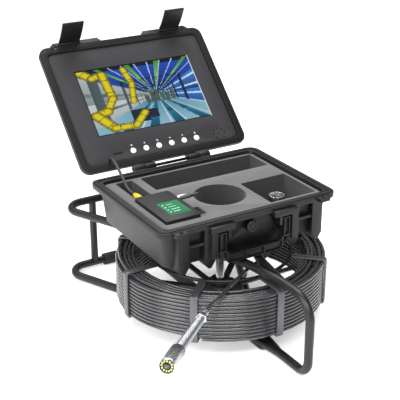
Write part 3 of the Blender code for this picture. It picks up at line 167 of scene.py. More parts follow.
def smooth(points, spacing):
    """Points spacing apart on a curve through the given ones."""
    points = [Vector(p) for p in points]
    ends = [2 * points[0] - points[1]] + points + [2 * points[-1] - points[-2]]
    dense = []
    for a, b, c, d in zip(ends, ends[1:], ends[2:], ends[3:]):
        for i in range(24):
            t = i / 24
            dense.append(0.5 * (2 * b + (c - a) * t + (2 * a - 5 * b + 4 * c - d) * t ** 2
                                + (3 * b - a - 3 * c + d) * t ** 3))
    dense.append(points[-1])
    total = sum((q - p).length for p, q in zip(dense, dense[1:]))
    step = total / max(2, round(total / spacing))
    even, walked, wanted = [dense[0]], 0.0, step
    for p, q in zip(dense, dense[1:]):
        stretch = (q - p).length
        while stretch > 0 and walked + stretch >= wanted - 1e-9 and wanted < total - step / 2:
            even.append(p.lerp(q, (wanted - walked) / stretch))
            wanted += step
        walked += stretch
    return even + [dense[-1]]


def pick(piece):
    """Select one object alone, and make it the active one."""
    bpy.ops.object.select_all(action="DESELECT")
    piece.select_set(True)
    bpy.context.view_layer.objects.active = piece


def tube_along(name, points, radius, material, corners=5):
    """A round tube along points, as a mesh with closed ends."""
    line = bpy.data.curves.new(name, "CURVE")
    line.dimensions = "3D"
    line.bevel_depth = radius
    line.bevel_resolution = corners
    line.use_fill_caps = True
    spline = line.splines.new("POLY")
    spline.points.add(len(points) - 1)
    for station, point in zip(spline.points, points):
        station.co = (*point, 1)
    made = bpy.data.objects.new(name, line)
    bpy.context.collection.objects.link(made)
    pick(made)
    bpy.ops.object.convert(target="MESH")
    bpy.ops.object.mode_set(mode="EDIT")
    bpy.ops.mesh.select_all(action="SELECT")
    bpy.ops.mesh.remove_doubles(threshold=0.00001)
    bpy.ops.mesh.normals_make_consistent(inside=False)
    bpy.ops.object.mode_set(mode="OBJECT")
    bpy.ops.object.shade_smooth_by_angle(angle=math.radians(50))
    made.data.materials.append(material)
    made.select_set(False)
    return made


tube_radius, cope_radius = 0.0060, 0.0061
low_z, high_z = 0.0093, 0.1173                # centre lines of the two loops
back_y, half_wide = 0.2200, 0.154             # the loops' straight rear run
neck_x, neck_y = 0.0115, -0.080               # where the sides come together
leg_y, front_y = -0.150, -0.215               # the single tube and the front leg
rear_bend, side_bend, leg_bend = 0.024, 0.110, 0.2
top_front_bend, low_front_bend = 0.030, 0.020
overlap, cope_start = 0.00015, 18             # past the middle, and the first point of the tube that is coped to


def loop_half(side, z):
    """The corners of one half of a loop, from the middle of its back to the leg."""
    return [Vector((side * overlap, back_y, z)), Vector((side * half_wide, back_y, z)),
            Vector((side * neck_x, neck_y, z)), Vector((0, leg_y, z))]


for side, level in ((-1, "main"), (1, "upper_right"), (1, "lower_right")):
    top, bottom = loop_half(side, high_z), loop_half(side, low_z)
    if level == "main":
        front = [Vector((0, front_y, high_z)), Vector((0, front_y, low_z))]
        path = rounded(top + front + bottom[::-1], (rear_bend, side_bend, leg_bend, top_front_bend, low_front_bend,
                                                    leg_bend, side_bend, rear_bend))
    else:
        path = rounded(top if level == "upper_right" else bottom, (rear_bend, side_bend))
    made = tube_along("stand_tube_" + level, path, tube_radius, powder_black)
    if level != "main":
        # the end is coped to lie against the main tube, and welded there
        z = high_z if level == "upper_right" else low_z
        nose = rounded(loop_half(-1, z) + [Vector((0, leg_y - 0.040, z))], (rear_bend, side_bend, leg_bend))
        cope = tube_along("cope", nose[cope_start:], cope_radius, powder_black)
        pick(made)
        cutter = made.modifiers.new("cope", "BOOLEAN")
        cutter.operation = "DIFFERENCE"
        cutter.solver = "EXACT"
        cutter.object = cope
        bpy.ops.object.modifier_apply(modifier="cope")
        bpy.data.objects.remove(cope, do_unlink=True)
    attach(made, "stand_and_case")
    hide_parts("frame_tube_main" if level == "main" else "frame_tube_" + level)


def ease_edges(piece, width, segments=2):
    """Round a picked piece's sharp edges, and shade its curved faces smooth."""
    if width > 0:
        bevel = piece.modifiers.new("eased edges", "BEVEL")
        bevel.width = width
        bevel.segments = segments
        bevel.limit_method = "ANGLE"
        bevel.angle_limit = math.radians(32)
        bpy.ops.object.modifier_apply(modifier="eased edges")
    bpy.ops.object.shade_smooth_by_angle(angle=math.radians(35))


def finished_copy(node, name, material, edge=0.0005, segments=2, body="stand_and_case"):
    """A CAD node's shape as one welded mesh with its sharp edges eased, standing for that node."""
    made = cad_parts[node].copy()
    made.data = made.data.copy()
    made.name = name
    for key in list(made.keys()):
        del made[key]
    made.parent = None
    made.hide_render = False
    made.hide_viewport = False
    bpy.context.collection.objects.link(made)
    pick(made)
    made.data.materials.clear()
    made.data.materials.append(material)
    bpy.ops.object.mode_set(mode="EDIT")
    bpy.ops.mesh.select_all(action="SELECT")
    bpy.ops.mesh.remove_doubles(threshold=0.00001)
    bpy.ops.mesh.dissolve_limited(angle_limit=math.radians(0.6))
    bpy.ops.object.mode_set(mode="OBJECT")
    ease_edges(made, edge, segments)
    made.select_set(False)
    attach(made, body)
    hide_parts(node)
    return made


for word in ("left", "right"):
    finished_copy("rear_strut_" + word, "stand_strut_" + word, powder_black, edge=0)

# ------------------------------------------------------------------------------------------ base bar, axle and feet
# A flat mild steel bar is welded across the lower loop and carries a turned steel axle, with a round plate on top
# that the case is screwed to.  Moulded rubber sleeves, pushed over the rear tube, keep it off the floor.

# Silver enamel: a dull half-metal grey.  Its flakes are too fine to show, so they are drawn 1.1 mm wide.
flat_steel, shader = surface("dark silver enamel on mild steel", Metallic=0.65, IOR=1.5)
spot = add_node(flat_steel, "ShaderNodeTexCoord").outputs["Object"]
grain = add_node(flat_steel, "ShaderNodeTexNoise", {"Vector": spot, "Scale": 900, "Detail": 3}).outputs["Fac"]
cloud = add_node(flat_steel, "ShaderNodeTexNoise", {"Vector": spot, "Scale": 30, "Detail": 4}).outputs["Fac"]
tone = add_node(flat_steel, "ShaderNodeMix", {"Factor": cloud, "A": linear("#58595C"), "B": linear("#6C6D70")},
                data_type="RGBA")
gloss = add_node(flat_steel, "ShaderNodeMapRange", {"Value": grain, "To Min": 0.30, "To Max": 0.46})
bump = add_node(flat_steel, "ShaderNodeBump", {"Height": grain, "Strength": 0.2, "Distance": 0.0001})
plug_in(flat_steel, shader, Base_Color=tone.outputs["Result"], Roughness=gloss.outputs["Result"],
        Normal=bump.outputs["Normal"])

# Turned steel: bright, with soft streaks.  The lathe's 0.1 mm marks are drawn 0.7 mm wide, so that they show.
bright_steel, shader = surface("turned bright steel", Metallic=1.0, Base_Color=linear("#C9CACC"))
spot = add_node(bright_steel, "ShaderNodeTexCoord").outputs["Object"]
rings = add_node(bright_steel, "ShaderNodeTexNoise", {"Vector": spot, "Scale": 1400, "Detail": 2}).outputs["Fac"]
gloss = add_node(bright_steel, "ShaderNodeMapRange", {"Value": rings, "To Min": 0.20, "To Max": 0.34})
plug_in(bright_steel, shader, Roughness=gloss.outputs["Result"])

# Rubber: nearly black and dull, with a greyish bloom in patches of 4 mm.
foot_rubber, shader = surface("moulded black rubber", IOR=1.5)
spot = add_node(foot_rubber, "ShaderNodeTexCoord").outputs["Object"]
bloom = add_node(foot_rubber, "ShaderNodeTexNoise", {"Vector": spot, "Scale": 260, "Detail": 4}).outputs["Fac"]
tone = add_node(foot_rubber, "ShaderNodeMix", {"Factor": bloom, "A": linear("#121213"), "B": linear("#1E1E1F")},
                data_type="RGBA")
gloss = add_node(foot_rubber, "ShaderNodeMapRange", {"Value": bloom, "To Min": 0.62, "To Max": 0.8})
plug_in(foot_rubber, shader, Base_Color=tone.outputs["Result"], Roughness=gloss.outputs["Result"])

finished_copy("base_bar", "base_bar_flat", flat_steel, edge=0.0006)
finished_copy("axle_post", "axle_turned", bright_steel, edge=0.0004)
finished_copy("case_mount_plate", "mount_plate_turned", flat_steel, edge=0.0004)
for word in ("left", "right"):
    finished_copy("foot_sleeve_" + word, "foot_rubber_" + word, foot_rubber, edge=0.0008)

# ------------------------------------------------------------------------------------------ reel
# Eight flat steel straps, bent to a C and riveted to a turned hub, hold the cable.  They are enamelled silver grey.
# A ring of powder coated 5 mm wire is welded across them at the top.

for i in range(1, 9):
    finished_copy("reel_arm_%d" % i, "reel_strap_%d" % i, flat_steel, edge=0.0005, body="reel")
finished_copy("reel_hub", "reel_hub_turned", flat_steel, edge=0.0005, body="reel")
ring_radius, ring_wire, ring_z = 0.1005, 0.0025, 0.1015
bpy.ops.mesh.primitive_torus_add(major_radius=ring_radius, minor_radius=ring_wire, major_segments=96,
                                 minor_segments=14, location=(0, 0, ring_z))
ring = bpy.context.object
ring.name = "reel_wire_ring"
bpy.ops.object.transform_apply(location=True, rotation=True, scale=True)
bpy.ops.object.shade_smooth()
ring.data.materials.append(powder_black)
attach(ring, "reel")
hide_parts("reel_ring")

# ------------------------------------------------------------------------------------------ push cable
# About 50 m of 5.2 mm push cable: a glass fibre rod with its wires inside a glossy black polyurethane jacket.  It
# lies on the reel in five layers of twelve turns, each turn stepping across to the next one.

# Extruded polyurethane: glossy near-black, with a clear skin over it.  It is scuffed to grey in patches of 12 mm,
# and the die's fine lines are drawn 0.9 mm apart, so that they show.
cable_jacket, shader = surface("extruded glossy black polyurethane", IOR=1.5, Coat_Weight=0.7, Coat_Roughness=0.18)
spot = add_node(cable_jacket, "ShaderNodeTexCoord").outputs["Object"]
scuff = add_node(cable_jacket, "ShaderNodeTexNoise", {"Vector": spot, "Scale": 85, "Detail": 5}).outputs["Fac"]
fine = add_node(cable_jacket, "ShaderNodeTexNoise", {"Vector": spot, "Scale": 1100, "Detail": 2}).outputs["Fac"]
tone = add_node(cable_jacket, "ShaderNodeMix", {"Factor": scuff, "A": linear("#2A2A2C"), "B": linear("#363639")},
                data_type="RGBA")
gloss = add_node(cable_jacket, "ShaderNodeMapRange", {"Value": scuff, "To Min": 0.24, "To Max": 0.30})
bump = add_node(cable_jacket, "ShaderNodeBump", {"Height": fine, "Strength": 0.03, "Distance": 0.00005})
plug_in(cable_jacket, shader, Base_Color=tone.outputs["Result"], Roughness=gloss.outputs["Result"],
        Normal=bump.outputs["Normal"])

cable_radius, row_pitch, layer_pitch, rows, layers = 0.0026, 0.00538, 0.00552, 12, 5
slack_out, slack_up = 0.00010, 0.00006        # how far a turn lies off its place
step_over = 0.15                              # the share of a turn that a step to the next row takes
coil_low, coil_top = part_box("cable_coil")
bottom_row, outer_layer = coil_low.z + cable_radius, coil_top.x - cable_radius
steps, here, row, layer, way = [], 0.0, 0, 0, 1
window = 0.85
while layer < layers:
    # eleven steps from row to row, at one place on the reel
    for k in range(rows - 1):
        start = math.floor(here) + window
        while start < here + 0.2:
            start += 1
        steps += [(start, row, layer), (start + step_over, row + way, layer)]
        row, here = row + way, start + step_over
    if layer < layers - 1:
        start = math.floor(here) + (window - step_over) % 1
        while start < here + 0.2:
            start += 1
        steps += [(start, row, layer), (start + step_over, row, layer + 1)]
        here = start + step_over
    way, window, layer = -way, (window - 2 * step_over) % 1, layer + 1
steps = [(0.0, 0, 0)] + steps + [(here + 0.55, row, layers - 1)]
turn_points, winding = 44, []
first_angle = -math.radians(5) - 2 * math.pi * (steps[-1][0] % 1)
for (t0, r0, l0), (t1, r1, l1) in zip(steps, steps[1:]):
    count = max(1, round((t1 - t0) * turn_points))
    for i in range(count):
        share = i / count
        ease = share * share * (3 - 2 * share)
        t = t0 + (t1 - t0) * share
        radius = outer_layer - (l0 + (l1 - l0) * ease) * layer_pitch + slack_out * math.sin(5.1 * t + 1.7 * r0)
        height = bottom_row + (r0 + (r1 - r0) * ease) * row_pitch + slack_up * math.sin(9.7 * t)
        angle = first_angle + 2 * math.pi * t
        winding.append(Vector((radius * math.cos(angle), radius * math.sin(angle), height)))
coil = tube_along("push_cable_coil", winding, cable_radius, cable_jacket, corners=4)
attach(coil, "reel")
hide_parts("cable_coil")

# The free end: it springs off the inner turns, crosses the straps and wire ring and stands out stiff to the head.
reel_top, ferrule_end = 0.104, 0.1592
head_tip, aim = Vector((-0.2340, -0.2635, 0.1280)), Vector((0.7400, 0.6680, -0.0900)).normalized()
tail_start = head_tip + aim * ferrule_end
over = reel_top + 0.0044
tail_path = smooth([tail_start, tail_start + aim * 0.012, (-0.0860, -0.1370, over + 0.0030),
                    (-0.0550, -0.1130, over + 0.0005), (-0.0270, -0.0960, over), (0, -0.0760, reel_top + 0.0005),
                    (0.0240, -0.0630, reel_top - 0.0020), (0.0500, -0.0470, reel_top - 0.0050),
                    (0.0800, -0.0280, reel_top - 0.0090), (0.1159, -0.0060, reel_top - 0.0150)][::-1], 0.006)
tail = tube_along("push_cable_free_end", tail_path, cable_radius, cable_jacket, corners=4)
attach(tail, "stand_and_case")
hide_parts("push_cable_tail")

# ------------------------------------------------------------------------------------------ camera head
# A turned stainless housing with a sapphire window and a ring of twelve LEDs.  It is screwed to a close-wound spring
# that lets it turn corners, then a hexagonal coupling, and a ferrule crimped on the cable.

# Polished stainless: a bright, slightly clouded mirror.  Its scratches are too fine to show, so they are drawn
# 0.6 mm wide.
stainless, shader = surface("polished stainless steel", Metallic=1.0)
spot = add_node(stainless, "ShaderNodeTexCoord").outputs["Object"]
scratch = add_node(stainless, "ShaderNodeTexNoise", {"Vector": spot, "Scale": 1800, "Detail": 3}).outputs["Fac"]
tone = add_node(stainless, "ShaderNodeMix", {"Factor": scratch, "A": linear("#C4C6C9"), "B": linear("#E2E3E5")},
                data_type="RGBA")
gloss = add_node(stainless, "ShaderNodeMapRange", {"Value": scratch, "To Min": 0.24, "To Max": 0.30})
plug_in(stainless, shader, Base_Color=tone.outputs["Result"], Roughness=gloss.outputs["Result"])

to_head = Vector((0, 0, 1)).rotation_difference(aim).to_matrix().to_4x4()
head_place = Matrix.Translation(head_tip) @ to_head


def lathe(name, profile, material, place, steps=48):
    """A turned piece: a point drawn along (radius, height) stations and spun round its axis, then put in place."""
    bpy.ops.object.select_all(action="DESELECT")
    bpy.ops.mesh.primitive_plane_add(size=0.001, location=(0, 0, 0))
    made = bpy.context.object
    made.name = name
    bpy.ops.object.mode_set(mode="EDIT")
    bpy.ops.mesh.select_mode(type="VERT")
    bpy.ops.mesh.merge(type="CENTER")
    bpy.ops.transform.translate(value=(profile[0][0], 0, profile[0][1]))
    for (r0, h0), (r1, h1) in zip(profile, profile[1:]):
        bpy.ops.mesh.extrude_vertices_move(TRANSFORM_OT_translate={"value": (r1 - r0, 0, h1 - h0)})
    bpy.ops.mesh.select_all(action="SELECT")
    bpy.ops.mesh.spin(steps=steps, angle=2 * math.pi, center=(0, 0, 0), axis=(0, 0, 1))
    bpy.ops.mesh.select_all(action="SELECT")
    bpy.ops.mesh.remove_doubles(threshold=0.000005)
    bpy.ops.mesh.normals_make_consistent(inside=False)
    bpy.ops.object.mode_set(mode="OBJECT")
    made.data.transform(place)
    bpy.ops.object.shade_smooth_by_angle(angle=math.radians(30))
    made.data.materials.append(material)
    made.select_set(False)
    return made


housing_profile = [(0, 0.0440), (0.0062, 0.0440), (0.0072, 0.0434), (0.0085, 0.0412), (0.0094, 0.0392),
                   (0.0094, 0.0035), (0.0091, 0.0032), (0.0091, 0.0026), (0.0094, 0.0023), (0.0094, 0.0008),
                   (0.0091, 0.0001), (0.0088, 0.0000), (0.0085, 0.0004), (0.0085, 0.0042), (0, 0.0042)]
housing = lathe("head_housing_turned", housing_profile, stainless, head_place, steps=64)
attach(housing, "stand_and_case")
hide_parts("head_housing")

# the spring's coils, close wound and a little narrower towards the coupling
spring_points = []
spring_turns, spring_start, spring_length = 34, 0.0452, 0.0812
spring_radius, spring_taper, wire_radius, turn_steps = 0.0055, 0.0008, 0.00108, 20
for i in range(spring_turns * turn_steps + 1):
    share = i / (spring_turns * turn_steps)
    radius = spring_radius - spring_taper * share
    angle = 2 * math.pi * spring_turns * share
    spring_points.append(head_place @ Vector((radius * math.cos(angle), radius * math.sin(angle),
                                              spring_start + spring_length * share)))


def two_tone(name, dark, pale, scale, detail, **sockets):
    """A material that drifts between two tones of one colour, and is otherwise the same all over."""
    made, shader = surface(name, **sockets)
    spot = add_node(made, "ShaderNodeTexCoord").outputs["Object"]
    drift = add_node(made, "ShaderNodeTexNoise", {"Vector": spot, "Scale": scale, "Detail": detail}).outputs["Fac"]
    tone = add_node(made, "ShaderNodeMix", {"Factor": drift, "A": linear(dark), "B": linear(pale)}, data_type="RGBA")
    plug_in(made, shader, Base_Color=tone.outputs["Result"])
    return made


# Drawn wire: greyer and duller than the housing, with die marks drawn 1.4 mm long so that they show.
spring_wire = two_tone("drawn stainless spring wire", "#85878A", "#B4B6B9", 700, 3, Metallic=1.0, Roughness=0.34)
spring = tube_along("head_spring_wound", spring_points, wire_radius, spring_wire, corners=2)
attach(spring, "stand_and_case")
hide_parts("head_spring")
core = lathe("head_spring_core", [(0, 0.1270), (0.0042, 0.1270), (0.0049, 0.0445), (0, 0.0445)], foot_rubber,
             head_place, steps=24)
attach(core, "stand_and_case")
finished_copy("head_collar", "head_coupling", stainless, edge=0.0005)
ferrule = lathe("head_ferrule_crimped", [(0, 0.1589), (0.0030, 0.1589), (0.0034, 0.1583), (0.0034, 0.1530),
                                         (0.0039, 0.1520), (0.0039, 0.1490), (0.0035, 0.1485), (0.0035, 0.1475),
                                         (0.0039, 0.1470), (0.0039, 0.1440), (0.0035, 0.1435), (0.0035, 0.1425),
                                         (0.0039, 0.1420), (0.0039, 0.1352), (0, 0.1352)], stainless, head_place,
                steps=32)
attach(ferrule, "stand_and_case")
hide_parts("head_ferrule")

# Sapphire over the dark lens: black with a hard, mirror-like glint.  Its dust is drawn 0.4 mm across, so that it
# shows.
black_glass, shader = surface("sapphire window over the lens", Base_Color=linear("#07090D"), IOR=1.76,
                              Coat_Weight=1.0, Coat_Roughness=0.02)
spot = add_node(black_glass, "ShaderNodeTexCoord").outputs["Object"]
dust = add_node(black_glass, "ShaderNodeTexNoise", {"Vector": spot, "Scale": 2500, "Detail": 2}).outputs["Fac"]
gloss = add_node(black_glass, "ShaderNodeMapRange", {"Value": dust, "To Min": 0.03, "To Max": 0.08})
plug_in(black_glass, shader, Roughness=gloss.outputs["Result"])
lens = lathe("head_window", [(0, 0.0042), (0.0034, 0.0042), (0.0034, 0.0014), (0.0031, 0.0009), (0.0024, 0.0007),
                             (0.0020, 0.0011), (0.0011, 0.0009), (0, 0.0008)], black_glass, head_place, steps=40)
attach(lens, "stand_and_case")
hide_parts("head_lens")

# Solder mask: a soft black, a shade greener over the copper tracks, which are about 1.1 mm wide.
led_board = two_tone("black solder mask on the LED board", "#101110", "#1D1F1A", 900, 2, IOR=1.5)
board = lathe("head_led_board", [(0.0036, 0.0040), (0.0081, 0.0040), (0.0081, 0.0016), (0.0036, 0.0016),
                                 (0.0036, 0.0040)], led_board, head_place, steps=48)
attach(board, "stand_and_case")
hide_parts("head_led_ring")
# Epoxy LED domes, lit: a soft yellow-green glow, brighter in spots of 1.4 mm.
led_lens, shader = surface("lit warm white LED", Roughness=0.15, IOR=1.5, Emission_Strength=0.55)
spot = add_node(led_lens, "ShaderNodeTexCoord").outputs["Object"]
glow = add_node(led_lens, "ShaderNodeTexNoise", {"Vector": spot, "Scale": 700, "Detail": 1}).outputs["Fac"]
tone = add_node(led_lens, "ShaderNodeMix", {"Factor": glow, "A": linear("#D7DC4E"), "B": linear("#EDEE9C")},
                data_type="RGBA")
plug_in(led_lens, shader, Base_Color=tone.outputs["Result"], Emission_Color=tone.outputs["Result"])
led_count, led_circle = 12, 0.0062
for i in range(led_count):
    angle = 2 * math.pi * (i + 0.5) / led_count
    seat = head_place @ Matrix.Translation((led_circle * math.cos(angle), led_circle * math.sin(angle), 0))
    led = lathe("head_led_%d" % (i + 1), [(0, 0.0017), (0.00095, 0.0017), (0.00095, 0.0010), (0.0008, 0.0006),
                                          (0.0004, 0.0003), (0, 0.0002)], led_lens, seat, steps=16)
    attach(led, "stand_and_case")

# ------------------------------------------------------------------------------------------ case
# Base and lid are injection moulded in black polypropylene, with a pebbled skin.  Latches, handle and hinge knuckles
# are moulded with them or snapped on, a steel pin holds the hinge, and a rubber cord seals the rim.

# Moulded polypropylene: a deep matte black.  Its pebbles are 0.8 mm across, and its gloss drifts over 45 mm.
case_plastic, shader = surface("moulded black polypropylene", IOR=1.49, Specular_IOR_Level=0.4)
spot = add_node(case_plastic, "ShaderNodeTexCoord").outputs["Object"]
pebble = add_node(case_plastic, "ShaderNodeTexVoronoi", {"Vector": spot, "Scale": 1300}).outputs["Distance"]
flow = add_node(case_plastic, "ShaderNodeTexNoise", {"Vector": spot, "Scale": 22, "Detail": 4}).outputs["Fac"]
tone = add_node(case_plastic, "ShaderNodeMix", {"Factor": flow, "A": linear("#0A0A0B"), "B": linear("#121213")},
                data_type="RGBA")
gloss = add_node(case_plastic, "ShaderNodeMapRange", {"Value": flow, "To Min": 0.40, "To Max": 0.52})
bump = add_node(case_plastic, "ShaderNodeBump", {"Height": pebble, "Strength": 0.18, "Distance": 0.00015})
plug_in(case_plastic, shader, Base_Color=tone.outputs["Result"], Roughness=gloss.outputs["Result"],
        Normal=bump.outputs["Normal"])

finished_copy("case_base", "case_base_moulded", case_plastic, edge=0.0007, segments=3)
finished_copy("lid_shell", "lid_moulded", case_plastic, edge=0.0008, segments=3, body="lid")
# the handle is moulded as a channel, with cross ribs that leave pockets along its front
rib_places, bar_height = (-0.0445, -0.0150, 0.0150, 0.0445), 0.0190
channel_wall, channel_depth = 0.0013, 0.0036
handle = finished_copy("handle", "handle_moulded", case_plastic, edge=0, body="handle")
pick(handle)
bpy.ops.object.mode_set(mode="EDIT")
handle_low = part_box("handle")[0]
for rib_x in rib_places:
    bpy.ops.mesh.select_all(action="SELECT")
    bpy.ops.mesh.bisect(plane_co=(rib_x, 0, 0), plane_no=(1, 0, 0))
bpy.ops.mesh.select_all(action="SELECT")
bpy.ops.mesh.bisect(plane_co=(0, 0, handle_low.z + bar_height), plane_no=(0, 0, 1))
bpy.ops.mesh.select_all(action="DESELECT")
bpy.ops.object.mode_set(mode="OBJECT")
for face in handle.data.polygons:
    face.select = face.normal.y < -0.95 and face.center.y < handle_low.y + 0.0005 and face.area > 0.00004
bpy.ops.object.mode_set(mode="EDIT")
bpy.ops.mesh.select_mode(type="FACE")
bpy.ops.mesh.inset(thickness=channel_wall, use_individual=True)
bpy.ops.mesh.extrude_faces_move(TRANSFORM_OT_shrink_fatten={"value": -channel_depth})
bpy.ops.object.mode_set(mode="OBJECT")
ease_edges(handle, 0.0004)
handle.select_set(False)
for word in ("left", "right"):
    finished_copy("latch_" + word, "latch_moulded_" + word, case_plastic, edge=0.0005, body="latch_" + word)
# the pressure valve's knob: a fluted rim round a stepped face
valve_low, valve_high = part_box("valve_knob")
valve_radius, valve_face = (valve_high.x - valve_low.x) / 2, valve_low.y
valve_at = Matrix.Translation((0, valve_face, (valve_low.z + valve_high.z) / 2)) @ Matrix.Rotation(
    math.radians(-90), 4, "X")
rim, neck, depth, flute, rim_steps = valve_radius, 0.0040, valve_high.y - valve_face, 0.0006, 72
valve = lathe("valve_turned", [(0, 0.0004), (0.0030, 0.0004), (0.0034, 0.0012), (0.0052, 0.0012), (0.0056, 0.0002),
                               (rim - 0.0014, 0.0000), (rim - 0.0006, 0.0006), (rim - 0.0006, 0.0052),
                               (rim - 0.0010, 0.0055), (neck, 0.0055), (neck, depth), (0, depth)], case_plastic,
              valve_at, steps=rim_steps)
pick(valve)
bpy.ops.object.mode_set(mode="EDIT")
bpy.ops.mesh.select_all(action="DESELECT")
bpy.ops.object.mode_set(mode="OBJECT")
centre = valve_at.translation
for face in valve.data.polygons:
    across, up = face.center.x - centre.x, face.center.z - centre.z
    step = round(math.atan2(up, across) / (2 * math.pi) * rim_steps - 0.5) % rim_steps
    face.select = math.hypot(across, up) > rim - 0.0009 and abs(face.normal.y) < 0.3 and step % 3 == 0
bpy.ops.object.mode_set(mode="EDIT")
bpy.ops.mesh.select_mode(type="FACE")
bpy.ops.mesh.extrude_faces_move(TRANSFORM_OT_shrink_fatten={"value": flute})
bpy.ops.object.mode_set(mode="OBJECT")
bpy.ops.object.shade_smooth_by_angle(angle=math.radians(30))
valve.select_set(False)
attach(valve, "valve_knob")
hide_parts("valve_knob")
finished_copy("rim_seal", "rim_seal_cord", foot_rubber, edge=0.0003)
# Black oxide: a dark metal with a slight sheen.  The film's crystals are drawn 0.7 mm across, so that they show.
black_pin = two_tone("black oxide on the steel hinge pin", "#1C1C1E", "#2C2C2E", 1500, 2, Metallic=1.0,
                     Roughness=0.4)
finished_copy("hinge_pin", "hinge_pin_turned", black_pin, edge=0.0003)

# ------------------------------------------------------------------------------------------ foam and its contents
# A block of closed-cell polyethylene foam is hot-wire cut with pockets and pressed into the case.  It holds the
# battery and control box, a screwed ABS case with a printed label, and a skid of turned stainless with rubber wheels.

# Cut foam: a flat mid grey with no gloss.  Its cells are 1 mm across, and its shade drifts over 38 mm.
foam_surface, shader = surface("cut grey polyethylene foam", IOR=1.45, Sheen_Weight=0.2, Sheen_Roughness=0.6)
spot = add_node(foam_surface, "ShaderNodeTexCoord").outputs["Object"]
cells = add_node(foam_surface, "ShaderNodeTexVoronoi", {"Vector": spot, "Scale": 950}).outputs["Distance"]
shade = add_node(foam_surface, "ShaderNodeTexNoise", {"Vector": spot, "Scale": 26, "Detail": 4}).outputs["Fac"]
tone = add_node(foam_surface, "ShaderNodeMix", {"Factor": shade, "A": linear("#4E4E50"), "B": linear("#5C5C5E")},
                data_type="RGBA")
bump = add_node(foam_surface, "ShaderNodeBump", {"Height": cells, "Strength": 0.35, "Distance": 0.0003})
plug_in(foam_surface, shader, Base_Color=tone.outputs["Result"], Normal=bump.outputs["Normal"])
shader.inputs["Roughness"].default_value = 0.92
foam = finished_copy("foam_insert", "foam_cut", foam_surface, edge=0.0005)

# Every face below the top, the pockets' walls and floors too, is a much darker grey and rougher, with cells of 1.4
# mm.
foam_wall, shader = surface("black hot-wire cut foam wall", IOR=1.45, Sheen_Weight=0.15, Sheen_Roughness=0.6)
spot = add_node(foam_wall, "ShaderNodeTexCoord").outputs["Object"]
cells = add_node(foam_wall, "ShaderNodeTexVoronoi", {"Vector": spot, "Scale": 700}).outputs["Distance"]
shade = add_node(foam_wall, "ShaderNodeTexNoise", {"Vector": spot, "Scale": 30, "Detail": 4}).outputs["Fac"]
tone = add_node(foam_wall, "ShaderNodeMix", {"Factor": shade, "A": linear("#232324"), "B": linear("#303031")},
                data_type="RGBA")
bump = add_node(foam_wall, "ShaderNodeBump", {"Height": cells, "Strength": 0.4, "Distance": 0.0004})
plug_in(foam_wall, shader, Base_Color=tone.outputs["Result"], Normal=bump.outputs["Normal"])
shader.inputs["Roughness"].default_value = 0.95
foam.data.materials.append(foam_wall)
foam_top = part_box("foam_insert")[1].z
# the top faces keep the mid grey, and every face below them takes the darker grey
for face in foam.data.polygons:
    face.material_index = 0 if face.center.z > foam_top - 0.0006 else 1

# Textured ABS: a dull black with a fine grain.  The real grain of 0.2 mm is drawn 0.7 mm wide, so that it shows.
box_plastic, shader = surface("fine textured black ABS", IOR=1.53)
spot = add_node(box_plastic, "ShaderNodeTexCoord").outputs["Object"]
grain = add_node(box_plastic, "ShaderNodeTexNoise", {"Vector": spot, "Scale": 1500, "Detail": 3}).outputs["Fac"]
tone = add_node(box_plastic, "ShaderNodeMix", {"Factor": grain, "A": linear("#0C0C0D"), "B": linear("#141415")},
                data_type="RGBA")
bump = add_node(box_plastic, "ShaderNodeBump", {"Height": grain, "Strength": 0.25, "Distance": 0.0001})
plug_in(box_plastic, shader, Base_Color=tone.outputs["Result"], Normal=bump.outputs["Normal"])
shader.inputs["Roughness"].default_value = 0.5
finished_copy("control_box", "control_box_tub", box_plastic, edge=0.0006)
finished_copy("control_box_cover", "control_box_lid", box_plastic, edge=0.0006)
# Polyester film: smooth, with a slight gloss.  It is printed green, with windows for the charge lamps.
label_film, shader = surface("green printed polyester film", Roughness=0.35, IOR=1.5)
inks = add_node(label_film, "ShaderNodeVertexColor", layer_name="print").outputs["Color"]
plug_in(label_film, shader, Base_Color=inks)
box_low, box_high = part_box("control_box_cover")


def label_print(u, v):
    """The label's colour at a place, u across and v up from 0 to 1: pale windows and bars on green."""
    for row in range(4):
        above = v - 0.22 - 0.19 * row
        if math.hypot((u - 0.16) * 31, above * 41) < 1.2:
            return linear("#E6F4EA")
        if 0.30 < u < 0.62 + 0.05 * ((row * 5) % 3) and abs(above) < 0.022:
            return linear("#9CCFB2")
    if u < 0.04 or u > 0.96 or v < 0.03 or v > 0.97:
        return linear("#1E7A4C")
    return linear("#0F6B3E") if v > 0.12 else linear("#0C5C36")


def painted_sheet(name, low, high, cell, colours, place, material, layer):
    """A thin flat sheet in its own frame, divided finely and coloured place by place."""
    bpy.ops.object.select_all(action="DESELECT")
    width, height = high[0] - low[0], high[1] - low[1]
    across, up = round(width / cell), round(height / cell)
    bpy.ops.mesh.primitive_grid_add(x_subdivisions=across, y_subdivisions=up, size=1, location=(0, 0, 0))
    made = bpy.context.object
    made.name = name
    bpy.ops.object.mode_set(mode="EDIT")
    bpy.ops.mesh.select_all(action="SELECT")
    bpy.ops.transform.resize(value=(width, height, 1))
    bpy.ops.transform.translate(value=((low[0] + high[0]) / 2, (low[1] + high[1]) / 2, high[2]))
    bpy.ops.mesh.extrude_region_move(TRANSFORM_OT_translate={"value": (0, 0, low[2] - high[2])})
    bpy.ops.mesh.select_all(action="SELECT")
    bpy.ops.mesh.normals_make_consistent(inside=False)
    bpy.ops.object.mode_set(mode="OBJECT")
    picture = made.data.color_attributes.new(layer, "FLOAT_COLOR", "POINT")
    for vertex, dot in zip(made.data.vertices, picture.data):
        dot.color = colours((vertex.co.x - low[0]) / width, (vertex.co.y - low[1]) / height)
    made.data.transform(place)
    made.data.materials.append(material)
    made.select_set(False)
    return made


